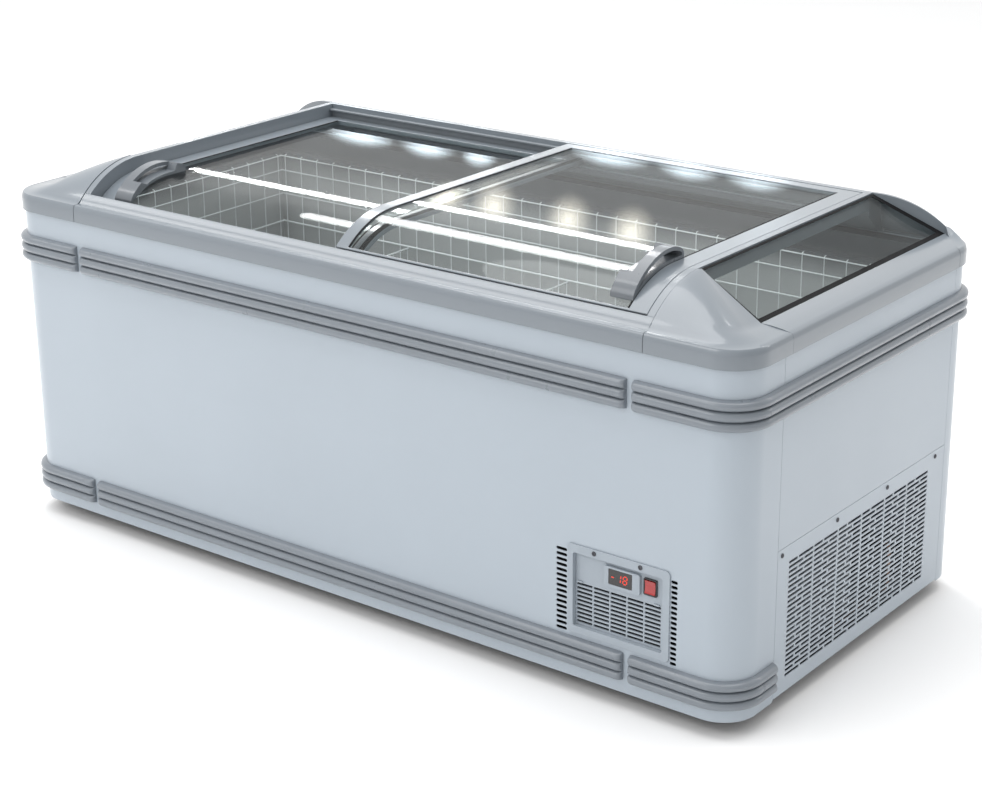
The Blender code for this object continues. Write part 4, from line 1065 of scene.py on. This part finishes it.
def build_brush():
    """Black brush seal along the lower lid's inner bar, under the upper lid."""
    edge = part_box("lid_frame_left")[1].x
    rows = lid_rows(LOWER_FOOT_ANGLE, LID_DROP)[1:]
    strip = lid_sheet([edge - 0.012, edge - 0.0005], rows, 0.0016, 0.0001)
    add_piece("lid_left_brush", strip, "lid_left", GASKET, (), 50)


HANDLE_BASE = 0.005
GRIP_RISE = 0.0285
LEFT_GRIP_RISE = 0.0218
GRIP_THICKNESS = 0.0075
GRIP_INNER = 0.622
# Shares of the handle's length, from its foot to its top.
GRIP_OPENING = (0.11, 0.96)
SCOOP_FLOOR = (0.37, 0.81)
SCOOP_BLOCKS = ((0.27, 0.30, 0.335), (0.845, 0.880, 0.90))


def handle_point(angle, out, drop):
    """Point above a lid's surface; past 90 degrees it runs on along the flat part."""
    y, z, ny, nz = arch_row(min(angle, 90), drop)
    along = math.radians(max(0, angle - 90)) * (ARCH_RADIUS - drop)
    return (y + ny * out + along, z + nz * out)


def hump(share, rise):
    """Height of the grip's top along the handle, steep at the foot and round at the top."""
    return rise * math.sin(math.pi * share ** 1.73) ** 0.32


def grip_outline(curve, rise):
    """Side view of the handle: along the lid, then back over the hump."""
    shares = [0.012, 0.03, 0.05] + [0.07 + 0.92 * (i / 44) for i in range(44)] + [0.99, 0.996]
    return (curve(spread(0, 1, 32), lambda share: -0.0012)
            + curve(shares[::-1], lambda share: hump(share, rise)))


def opening_outline(curve, rise):
    """Opening between the base and the grip."""
    shares = spread(*GRIP_OPENING, 32)

    def ceiling(share):
        return max(HANDLE_BASE + 0.0008, hump(share, rise) - GRIP_THICKNESS)

    return curve(shares, lambda share: HANDLE_BASE) + curve(shares[::-1], ceiling)


def scoop_outline(curve, rise):
    """Finger space on the inner side, between a block at the foot and one at the top."""
    foot, top = SCOOP_BLOCKS
    outline = curve(spread(*SCOOP_FLOOR, 20), lambda share: HANDLE_BASE - 0.0004)
    outline += curve(top, lambda share: HANDLE_BASE + 0.010 + (share - top[0]) * 0.25)
    outline += curve((top[-1], 0.26), lambda share: 0.06)
    return outline + curve(foot, lambda share: 0.61 * rise - (share - foot[0]) * 0.16)


def build_handle(side, sign, drop, rise, span, node):
    """Bridge-shaped grip along the outer edge of a base with a block at each end."""
    low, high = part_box(node)
    start, stop = span

    def curve(shares, height):
        angles = [start + (stop - start) * share for share in shares]
        return [handle_point(angle, height(share), drop) for angle, share in zip(angles, shares)]

    x_in, x_out = (low.x, high.x) if sign > 0 else (high.x, low.x)
    x_split = sign * GRIP_INNER
    body = prism(grip_outline(curve, rise), "x", *sorted((x_in, x_out)))
    for outline, ends in ((opening_outline, (x_split - sign * 0.0005, x_out + sign * 0.01)),
                          (scoop_outline, (x_split, x_in - sign * 0.01))):
        body = cut(body, prism(outline(curve, rise), "x", *sorted(ends)))
    add_piece(f"lid_{side}_grip", body, f"lid_{side}", GRIP, [node], 35, 0.0016, 3)


def build_lids():
    build_lid("left", (LID_BAR_OUTER, LID_BAR_INNER), LOWER_FOOT_ANGLE, LID_DROP, 0.010)
    build_lid("right", (LID_BAR_INNER, LID_BAR_OUTER), UPPER_FOOT_ANGLE, 0.0, 0.008)
    build_brush()
    build_handle("left", -1, LID_DROP, LEFT_GRIP_RISE, (52.5, 105.5), "lid_handle_left")
    build_handle("right", 1, 0.0, GRIP_RISE, (54.5, 100.0), "lid_handle_right")


# ---------------------------------------------------------------- wires

GUARD_LOW, GUARD_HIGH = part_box("wire_guard")
WIRE_PITCH = 0.050
THIN, MEDIUM, THICK = 0.0011, 0.0015, 0.0021
STEP_X = 0.370
STEP_TOP = 0.395
LEVELS = (0.618, 0.562)
HEAVY_LEVEL = 0.495
LOW_LEVELS = (0.420, 0.330, 0.240, 0.150)


def upright(x, y, toward, foot, top):
    """One upright wire with its head hooked back towards the wall."""
    reach, radius = 0.006, 0.004
    dx, dy = toward
    path = [(x, y, foot), (x, y, top - radius)]
    for i in range(1, 5):
        angle = math.pi / 2 * i / 4
        out = radius * (1 - math.cos(angle))
        path.append((x + dx * out, y + dy * out, top - radius + radius * math.sin(angle)))
    path.append((x + dx * reach, y + dy * reach, top))
    return tube(path, THIN, 6)


def guard_side(name, fixed, span, along_x, sign):
    """Wires of one wall of the guard: uprights and horizontals."""
    start, stop = span
    parts = []
    count = round((stop - start) / WIRE_PITCH)
    top = GUARD_HIGH.z - THIN - 0.0005
    for place in spread(start + 0.012, stop - 0.012, count):
        x, y = (place, fixed) if along_x else (fixed, place)
        foot = (STEP_TOP if x > STEP_X - 0.012 else GUARD_LOW.z) + 0.004
        parts.append(upright(x, y, (0, sign) if along_x else (sign, 0), foot, top))
    line = fixed - sign * (THIN + MEDIUM * 0.8)
    for level in (GUARD_HIGH.z - 0.0045,) + LEVELS + (HEAVY_LEVEL,) + LOW_LEVELS:
        end = stop
        if level < STEP_TOP:
            if not along_x and fixed > 0:
                continue
            end = min(stop, STEP_X - 0.014) if along_x else stop
        ends = [(start, line, level), (end, line, level)]
        if not along_x:
            ends = [(y, x, z) for x, y, z in ends]
        parts.append(tube(ends, THICK if level == HEAVY_LEVEL else MEDIUM, 8))
    nodes = ["wire_guard"] if name == "guard_rear" else ()
    add_piece(name, joined(parts), "cabinet", WIRE, nodes, 60)


def build_divider(node):
    """Cross panel of wires between two bays, with a heavy top rail."""
    low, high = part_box(node)
    x = (low.x + high.x) / 2

    def level_wire(z, inset, radius):
        return tube([(x, low.y + inset, z), (x, high.y - inset, z)], radius)

    parts = [level_wire(high.z - 0.0024, 0.002, THICK)]
    for y in spread(low.y + 0.006, high.y - 0.006, round((high.y - low.y) / WIRE_PITCH)):
        parts.append(tube([(x, y, low.z + 0.002), (x, y, high.z - 0.003)], THIN, 6))
    parts += [level_wire(z, 0.003, MEDIUM) for z in LOW_LEVELS]
    add_piece(f"{node}_wires", joined(parts), "cabinet", WIRE, [node], 60)


def build_wires():
    inset = THIN + 0.0003
    x0, x1 = GUARD_LOW.x + inset, GUARD_HIGH.x - inset
    y0, y1 = GUARD_LOW.y + inset + 0.006, GUARD_HIGH.y - inset - 0.006
    guard_side("guard_rear", y1, (x0 + 0.006, x1 - 0.006), True, 1)
    guard_side("guard_front", y0, (x0 + 0.006, x1 - 0.006), True, -1)
    guard_side("guard_left", x0 + 0.006, (y0, y1), False, -1)
    guard_side("guard_right", x1 - 0.006, (y0, y1), False, 1)
    build_divider("divider_left")
    build_divider("divider_centre")


# ---------------------------------------------------------------- control panel

SLOT_FIELD = ((0.5600, 0.7395), (0.1385, 0.2170))
RECESS = (0.5570, 0.7477, 0.1335, 0.2775)


def build_bezel():
    """Frame standing proud of the cabinet, with rounded corners and a sunk tray."""
    low, high = PANEL_LOW, PANEL_HIGH
    front, wall, depth = low.y, 0.0025, PLATE_HIGH.y - 0.0004
    border = slab(low.x, high.x, low.z, high.z, 0.009, front, -HALF_DEPTH - 0.0003, 8)
    x0, x1, z0, z1 = RECESS
    sleeve = slab(x0 - wall, x1 + wall, z0 - wall, z1 + wall, 0.006, -HALF_DEPTH - 0.001, depth)
    hole = slab(*RECESS, 0.0040, front - 0.01, depth + 0.01, 6)
    whole = cut(cut(border, sleeve, "UNION"), hole)
    add_piece("panel_bezel", whole, "cabinet", PANEL, ["control_bezel"], 30,
              0.0008, 3)


def plate_cutters(near, far):
    """Columns of vents, and a socket with a small lip for each fitting."""
    (low_x, high_x), (low_z, high_z) = SLOT_FIELD
    columns, rows, web, bar, lip = 5, 10, 0.0028, 0.0034, 0.002
    width = (high_x - low_x + web) / columns
    pitch = (high_z - low_z + bar) / rows
    cuts = []
    for column in range(columns):
        for row in range(rows):
            x, z = low_x + column * width, low_z + row * pitch
            cuts.append(box((x, near, z), (x + width - web, far, z + pitch - bar)))
    for node in ("controller_housing", "switch_frame"):
        low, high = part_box(node)
        cuts.append(box((low.x + lip, near, low.z + lip), (high.x - lip, far, high.z - lip)))
    return joined(cuts)


def build_plate():
    """Tray bottom with its openings, and two small tabs above the vents."""
    front, back = PLATE_LOW.y, PLATE_HIGH.y
    plate = cut(box(PLATE_LOW, PLATE_HIGH), plate_cutters(front - 0.01, back + 0.01))
    add_piece("panel_plate", plate, "cabinet", PANEL, ["control_plate"], 30)
    (low_x, high_x), (_, high_z) = SLOT_FIELD
    tabs = [slab(x, x + 0.012, high_z + 0.0008, high_z + 0.0042, 0.0010, front - 0.0026,
                 front + 0.0003, 3) for x in (low_x + 0.0015, high_x - 0.0135)]
    add_piece("panel_tabs", joined(tabs), "cabinet", PANEL, (), 30, 0.0006)


READING = "-18"
DIGIT_HEIGHT, DIGIT_PITCH = 0.0150, 0.0132
SEGMENTS = {"-": "g", "1": "bc", "8": "abcdefg"}


def digit_mesh(mark, x, z, height, face):
    """Seven-segment mark as thin slanted bars."""
    width, half_stroke, trim, lean = height * 0.52, height * 0.065, height * 0.0806, 0.10
    half = height / 2
    spans = {"a": (0, 1, height, "x"), "g": (0, 1, half, "x"), "d": (0, 1, 0, "x"),
             "f": (half, height, 0, "z"), "b": (half, height, width, "z"),
             "e": (0, half, 0, "z"), "c": (0, half, width, "z")}
    parts = []
    for segment in SEGMENTS[mark]:
        start, stop, place, along = spans[segment]
        low, high = place - half_stroke, place + half_stroke
        if along == "x":
            first, last = trim, width - trim
            corners = [(first, low), (last, low), (last, high), (first, high)]
        else:
            first, last = start + trim, stop - trim
            corners = [(low, first), (high, first), (high, last), (low, last)]
        corners = [(x + a + lean * b, z + b) for a, b in corners]
        parts.append(prism(corners, "y", face - 0.0003, face))
    return joined(parts)


def build_controller():
    low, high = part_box("controller_housing")
    glass_low, glass_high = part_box("display_window")
    front, face, gap = low.y, glass_low.y, 0.0004
    housing = slab(low.x, high.x, low.z, high.z, 0.0045, front, high.y, 6)
    pocket = slab(glass_low.x - gap, glass_high.x + gap, glass_low.z - gap, glass_high.z + gap,
                  0.0012, front - 0.01, front + 0.003, 3)
    add_piece("controller_case", cut(housing, pocket), "cabinet", PANEL,
              ["controller_housing"], 30, 0.0009, 3)
    window = slab(glass_low.x, glass_high.x, glass_low.z, glass_high.z, 0.001, face,
                  glass_high.y, 3)
    add_piece("display_pane", window, "cabinet", DISPLAY, ["display_window"], 30)
    z = (glass_low.z + glass_high.z) / 2 - DIGIT_HEIGHT / 2
    marks = [digit_mesh(mark, glass_low.x + 0.0042 + DIGIT_PITCH * i, z, DIGIT_HEIGHT, face)
             for i, mark in enumerate(READING)]
    add_piece("display_digits", joined(marks), "cabinet", DIGIT, (), 30)


def build_switch():
    low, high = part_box("switch_frame")
    front, back, wall = low.y, high.y, 0.0025
    border = slab(low.x, high.x, low.z, high.z, 0.0025, front, back, 4)
    hole = slab(low.x + wall, high.x - wall, low.z + wall, high.z - wall, 0.0012, front - 0.01,
                back + 0.01, 3)
    add_piece("rocker_frame", cut(border, hole), "cabinet", DARK,
              ["switch_frame"], 30, 0.0006)
    low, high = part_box("rocker_switch")
    middle, half = (low.z + high.z) / 2, (high.z - low.z) / 2
    outline = [(high.y, middle - half)]
    for i in range(13):
        share = -1 + i / 6
        outline.append((low.y + 0.0020 * (1 - share * share), middle + half * share))
    outline.append((high.y, middle + half))
    rocker = prism(outline, "x", low.x, high.x)
    add_piece("rocker_cap", rocker, "rocker", RED, ["rocker_switch"], 30, 0.0004)


def build_control_panel():
    build_bezel()
    build_plate()
    build_controller()
    build_switch()


# ---------------------------------------------------------------- machinery

def build_compressor():
    low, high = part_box("compressor")
    radius = (high.x - low.x) / 2
    centre = ((low.x + high.x) / 2, (low.y + high.y) / 2, low.z)
    tall = high.z - low.z
    shell = [(radius * 0.76, 0.0), (radius, 0.004), (radius, 0.012), (radius * 0.957, 0.0135)]
    shell += [(radius * 0.957, tall * 0.50), (radius * 0.985, tall * 0.505),
              (radius * 0.985, tall * 0.535), (radius * 0.957, tall * 0.54),
              (radius * 0.957, tall * 0.62)]
    for i in range(1, 11):
        angle = math.radians(9 * i)
        shell.append((max(0.001, radius * 0.957 * math.cos(angle)),
                      tall * 0.62 + tall * 0.38 * math.sin(angle)))
    add_piece("compressor_shell", turned(shell, centre, steps=48), "cabinet", BLACK_STEEL,
              ["compressor"], 40)


CONDENSER_INSET = 0.016
FIN_COUNT = 74
FIN, END_PLATE = 0.0005, 0.0018
TUBE_ROWS, TUBE_RADIUS = 8, 0.0045


def build_condenser():
    """Thin upright fins on rows of tube with bends outside the end plates."""
    low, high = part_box("condenser")
    inset, count = CONDENSER_INSET, FIN_COUNT
    pitch = (high.y - low.y - 2 * inset) / count
    parts = []
    for i in range(count + 1):
        y = low.y + inset + pitch * i
        half = (END_PLATE if i in (0, count) else FIN) / 2
        parts.append(box((low.x + 0.001, y - half, low.z), (high.x, y + half, high.z)))
    add_piece("condenser_fins", joined(parts), "cabinet", FINS, ["condenser"], 30)
    coil = tube(serpentine(low, high, inset, TUBE_ROWS), TUBE_RADIUS, 10)
    add_piece("condenser_tube", coil, "cabinet", COPPER, (), 60)


def serpentine(low, high, inset, rows):
    """Path to and fro between the end plates, row above row."""
    step = (high.z - low.z) / rows
    turn = step / 2
    reach = min(turn, inset - TUBE_RADIUS - 0.0005)
    x = (low.x + high.x) / 2
    ends = (low.y + inset - 0.001, high.y - inset + 0.001)
    path = []
    for row in range(rows):
        z = low.z + step * (row + 0.5)
        outward = 1 if row % 2 == 0 else -1
        start, stop = ends[::outward]
        path += [(x, start, z), (x, stop, z)]
        if row < rows - 1:
            for k in range(1, 6):
                angle = math.pi * k / 6
                path.append((x, stop + outward * reach * math.sin(angle),
                             z + turn * (1 - math.cos(angle))))
    return path


def squareness(angle, power=14):
    """Reach of a square with softly rounded corners, half a side being 1."""
    total = abs(math.cos(angle)) ** power + abs(math.sin(angle)) ** power
    return (1 / total) ** (1 / power)


def build_fan():
    """Square housing with a flared round hole, and the motor and blades in it."""
    low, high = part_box("fan_shroud")
    centre = Vector((0, (low.y + high.y) / 2, (low.z + high.z) / 2))
    half, hole, flare, wall, steps = (high.y - low.y) / 2, 0.098, 0.004, 0.003, 64
    front, back = high.x, low.x
    bends = spread(0, math.pi / 2, 4)
    section = [(hole + flare * (1 - math.sin(bend)), front - flare * (1 - math.cos(bend)))
               for bend in bends]
    section += [(hole, back), (hole + wall, back), (hole + wall, front - wall)]
    rings = []
    for i in range(steps):
        angle = 2 * math.pi * i / steps
        ca, sa = math.cos(angle), math.sin(angle)
        edge = squareness(angle) * half
        loop = [(edge, front)] + section + [(edge, front - wall)]
        rings.append([(x, centre.y + reach * ca, centre.z + reach * sa) for reach, x in loop])
    add_piece("fan_housing", loft(rings, closed=True), "cabinet", BLACK_STEEL,
              ["fan_shroud"], 40)
    build_fan_motor(centre)
    build_fan_blades(centre)


def build_fan_motor(centre):
    low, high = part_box("fan_motor")
    radius = (high.y - low.y) / 2
    profile = [(0.002, 0.0), (radius * 0.82, 0.0), (radius * 0.95, 0.003), (radius, 0.008)]
    for k in range(3):
        start = 0.018 + 0.014 * k
        profile += [(radius, start), (radius - 0.002, start + 0.0015),
                    (radius - 0.002, start + 0.0055), (radius, start + 0.007)]
    profile += [(radius, 0.062), (radius * 0.92, 0.068), (0.012, 0.071), (0.0042, 0.073),
                (0.004, high.x - low.x)]
    motor = turned(profile, (low.x, centre.y, centre.z), "x", 32)
    stations = ((low.x + 0.030, radius - 0.002), (low.x + 0.030, 0.090), (high.x - 0.010, 0.103))
    struts = []
    for turn in (45, 135, 225, 315):
        ca, sa = math.cos(math.radians(turn)), math.sin(math.radians(turn))
        path = [(x, centre.y + reach * ca, centre.z + reach * sa) for x, reach in stations]
        struts.append(tube(path, 0.0025, 8))
    add_piece("fan_drive", joined([motor] + struts), "cabinet", BLACK_STEEL,
              ["fan_motor"], 40)


def build_fan_blades(centre):
    """Five pitched blades, each a thin twisted sheet, on a hub."""
    low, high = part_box("fan_blade")
    reach, hub, bore = 0.0905, 0.026, 0.004
    root = hub * 0.9
    middle = (low.x + high.x) / 2
    profile = [(bore, low.x + 0.001), (hub * 0.92, low.x + 0.001), (hub, low.x + 0.004),
               (hub, high.x - 0.003), (hub * 0.85, high.x - 0.0005), (bore, high.x - 0.0005)]
    parts = [turned(profile, (0, centre.y, centre.z), "x", 32)]
    for blade in range(5):
        base = 2 * math.pi * blade / 5
        rings = []
        for share in spread(0, 1, 8):
            radius = root + (reach - root) * share
            chord = 0.42 + 0.12 * share
            pitch = 0.0105 * (1 - 0.35 * share)
            ring = []
            for edge, side in ((-1, 1), (0, 1), (1, 1), (1, -1), (0, -1), (-1, -1)):
                angle = base + 0.30 * share + chord * edge
                x = middle + pitch * edge + 0.0016 * (1 - edge * edge) + 0.0006 * side
                y = centre.y + radius * math.cos(angle)
                ring.append((x, y, centre.z + radius * math.sin(angle)))
            rings.append(ring)
        parts.append(loft(rings))
    add_piece("fan_rotor", joined(parts), "fan", ALUMINIUM, ["fan_blade"], 40)


def build_pipework():
    """Discharge and return pipes between the compressor and the condenser."""
    low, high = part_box("compressor")
    top, x, y = high.z, (low.x + high.x) / 2, (low.y + high.y) / 2
    coil_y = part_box("condenser")[1].y
    bridge, under, floor = top + 0.030, top - 0.050, 0.060
    path = bent([(x + 0.045, y, top - 0.022), (x + 0.045, y, bridge), (0.780, y, bridge),
                 (0.780, coil_y + 0.030, bridge), (0.852, coil_y + 0.030, 0.262),
                 (0.852, coil_y + 0.005, 0.262)], 0.018)
    add_piece("discharge_pipe", tube(path, 0.0042, 10), "cabinet", COPPER, (), 60)
    path = bent([(x + 0.060, y + 0.020, under), (x + 0.120, y + 0.030, under),
                 (0.868, y + 0.020, under), (0.868, y + 0.020, floor),
                 (0.868, -0.02, floor), (0.800, -0.02, 0.056)], 0.014)
    add_piece("return_pipe", tube(path, 0.0048, 10), "cabinet", COPPER, (), 60)


def bent(points, radius, steps=5):
    """Polyline with its corners rounded."""
    points = [Vector(point) for point in points]
    path = [points[0]]
    for before, corner, after in zip(points, points[1:], points[2:]):
        reach = min(radius, (corner - before).length * 0.45, (after - corner).length * 0.45)
        start = corner + (before - corner).normalized() * reach
        stop = corner + (after - corner).normalized() * reach
        for i in range(steps + 1):
            share = i / steps
            path.append(start.lerp(corner, share).lerp(corner.lerp(stop, share), share))
    return path + [points[-1]]


# ---------------------------------------------------------------- pieces kept from the CAD

KEPT = {
    "end_panel_left": (BODY, 0.0008), "end_panel_right": (BODY, 0.0008),
    "inner_liner": (LINER_PAINTED_SHADE, 0.0), "insulation": (PAINTED_SHADE_FOAM, 0.0), "evaporator_coil": (COPPER, 0.0),
    # Painted shade: the rear track takes the darker painted shade grey.
    "track_front": (ALUMINIUM, 0.0003), "track_rear": (PAINTED_SHADE_GREY, 0.0003),
    # Painted shade: the base tray is black so that the gap under the skirt reads as a dark shadow
    # line.
    "base_tray": (BLACK_STEEL, 0.0008), "lamp_strip": (LAMP, 0.0010),
    "foot_front_left": (DARK, 0.0010), "foot_front_right": (DARK, 0.0010),
    "foot_rear_left": (DARK, 0.0010), "foot_rear_right": (DARK, 0.0010),
}


def dress_kept_nodes():
    for name, (material, bevel) in KEPT.items():
        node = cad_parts[name]
        node.data.materials.clear()
        node.data.materials.append(material)
        if bevel:
            add_bevel(node, bevel, 2, 30)


# ---------------------------------------------------------------- setting

CAMERA_PLACE = Vector((2.6034, -3.2895, 1.8661))
CAMERA_TARGET = Vector((0.0475, 0.0, 0.3286))
CAMERA_ROLL = math.radians(-0.5767)
CAMERA_LENS = 79.22


def add_camera():
    data = bpy.data.cameras.new("camera")
    data.lens = CAMERA_LENS
    data.sensor_width = 36
    camera = new_object("camera", data)
    camera.location = CAMERA_PLACE
    aim = (CAMERA_TARGET - CAMERA_PLACE).to_track_quat("-Z", "Y")
    camera.rotation_mode = "QUATERNION"
    camera.rotation_quaternion = aim @ Quaternion((0, 0, 1), CAMERA_ROLL)
    bpy.context.scene.camera = camera


def square(name, reach, material):
    """Flat square in its own XY plane, outside the part."""
    mesh = bpy.data.meshes.new(name)
    corners = [(-reach, -reach, 0), (reach, -reach, 0), (reach, reach, 0), (-reach, reach, 0)]
    mesh.from_pydata(corners, [], [(0, 1, 2, 3)])
    mesh.materials.append(material)
    piece = new_object(name, mesh)
    return piece


def add_floor():
    material = new_material("floor_white", (0.93, 0.93, 0.93), 0.85)
    add_roughness(material, 0.8, 0.9, 3.0)
    square("floor", 14.0, material)


def add_lamp(name, place, aim, size, power):
    data = bpy.data.lights.new(name, "AREA")
    data.shape = "RECTANGLE"
    data.size, data.size_y = size
    data.energy = power
    lamp = new_object(name, data)
    lamp.location = place
    lamp.rotation_mode = "QUATERNION"
    lamp.rotation_quaternion = (Vector(aim) - Vector(place)).to_track_quat("-Z", "Y")


def add_strip(name, place, along_x, length, width, power):
    """Long narrow lamp whose length runs along X or along Y, facing the freezer."""
    x, y, z = place
    aim = (x, 0, 0.8) if along_x else (0.8, y, 0.8)
    size = (length, width) if along_x else (width, length)
    add_lamp(name, place, aim, size, power)


def glow_material(name, colour, strength):
    """Light that fades out from the panel's middle, over a clear panel."""
    material, tree = bare_material(name)
    coordinates = add_node(tree, "TexCoord")
    fade = add_node(tree, "TexGradient")
    fade.gradient_type = "SPHERICAL"
    tree.links.new(coordinates.outputs["Object"], fade.inputs["Vector"])
    level = math_node(tree, "POWER", fade.outputs["Fac"], 1.5)
    amount = math_node(tree, "MULTIPLY", level, strength, False)
    light = add_node(tree, "Emission", {"Color": (*colour, 1.0)})
    tree.links.new(amount, light.inputs["Strength"])
    clear = add_node(tree, "BsdfTransparent")
    both = add_node(tree, "AddShader")
    tree.links.new(light.outputs["Emission"], both.inputs[0])
    tree.links.new(clear.outputs["BSDF"], both.inputs[1])
    tree.links.new(both.outputs["Shader"], tree.nodes["Material Output"].inputs["Surface"])
    return material


# Soft lights mirrored in the lids' glass, as (x, y, width).
COOL_GLOWS = ((-7.07, 7.74, 0.85), (-6.47, 7.74, 0.62), (-6.03, 7.74, 0.40),
              (-5.20, 8.07, 0.85), (-4.60, 8.07, 0.62), (-4.11, 8.09, 0.62))
WARM_GLOWS = tuple((x, 6.14, 0.36) for x in (-5.04, -4.69, -4.17, -3.75))


def add_glows(name, spots, z, height, material):
    for i, (x, y, width) in enumerate(spots, 1):
        panel = square(f"{name}_{i}", 1, material)
        panel.location = (x, y, z)
        panel.scale = (width / 2, height / 2, 1)
        panel.rotation_euler = (math.radians(110), 0, 0)


def shade_towards_end(tree, background):
    """Surroundings a little darker on the vented end's side, so that this end reads as shaded."""
    coordinates = add_node(tree, "TexCoord")
    parts = add_node(tree, "SeparateXYZ")
    tree.links.new(coordinates.outputs["Generated"], parts.inputs["Vector"])
    span = range_node(tree, parts.outputs["X"], (0.25, 0.9), (1.0, 0.55))
    tree.links.new(span.outputs["Result"], background.inputs["Strength"])


def add_world():
    world = bpy.data.worlds.new("studio")
    bpy.context.scene.world = world
    world.use_nodes = True
    background = world.node_tree.nodes["Background"]
    background.inputs["Color"].default_value = (1.0, 1.0, 1.0, 1.0)
    shade_towards_end(world.node_tree, background)
    view = bpy.context.scene.view_settings
    view.view_transform = "Standard"
    view.look = "None"


def add_light():
    add_lamp("overhead", (0, 0, 4.6), (0, 0.001, 0), (5.0, 3.0), 110)
    add_lamp("key", (-1.5, -4.5, 4.0), (0, 0, 0.3), (3.0, 2.0), 50)
    add_strip("rear_tube", (-5.3, 6.03, 3.0), True, 3.6, 0.035, 8)
    add_strip("near_tube", (-1.95, 1.6, 3.0), True, 1.6, 0.60, 44)
    add_strip("front_strip", (-2.5, -1.5, 3.8), True, 5.0, 0.35, 30)
    add_strip("end_strip", (2.3, 3.0, 3.2), False, 4.0, 0.35, 25)
    cool = glow_material("cool_glow", (0.80, 0.92, 1.0), 22.0)
    warm = glow_material("warm_glow", (1.0, 0.93, 0.80), 6.0)
    add_glows("cool_panel", COOL_GLOWS, 3.03, 0.30, cool)
    add_glows("warm_panel", WARM_GLOWS, 2.93, 0.34, warm)


# ---------------------------------------------------------------- build

build_skins()
build_service_grille()
build_screws()
build_bumpers()
build_rims()
build_corner_caps()
build_end_rails()
build_side_frames()
build_end_glass()
build_lids()
build_wires()
build_control_panel()
build_compressor()
build_condenser()
build_fan()
build_pipework()
dress_kept_nodes()
add_floor()
add_world()
add_light()
add_camera()

bpy.context.view_layer.update()
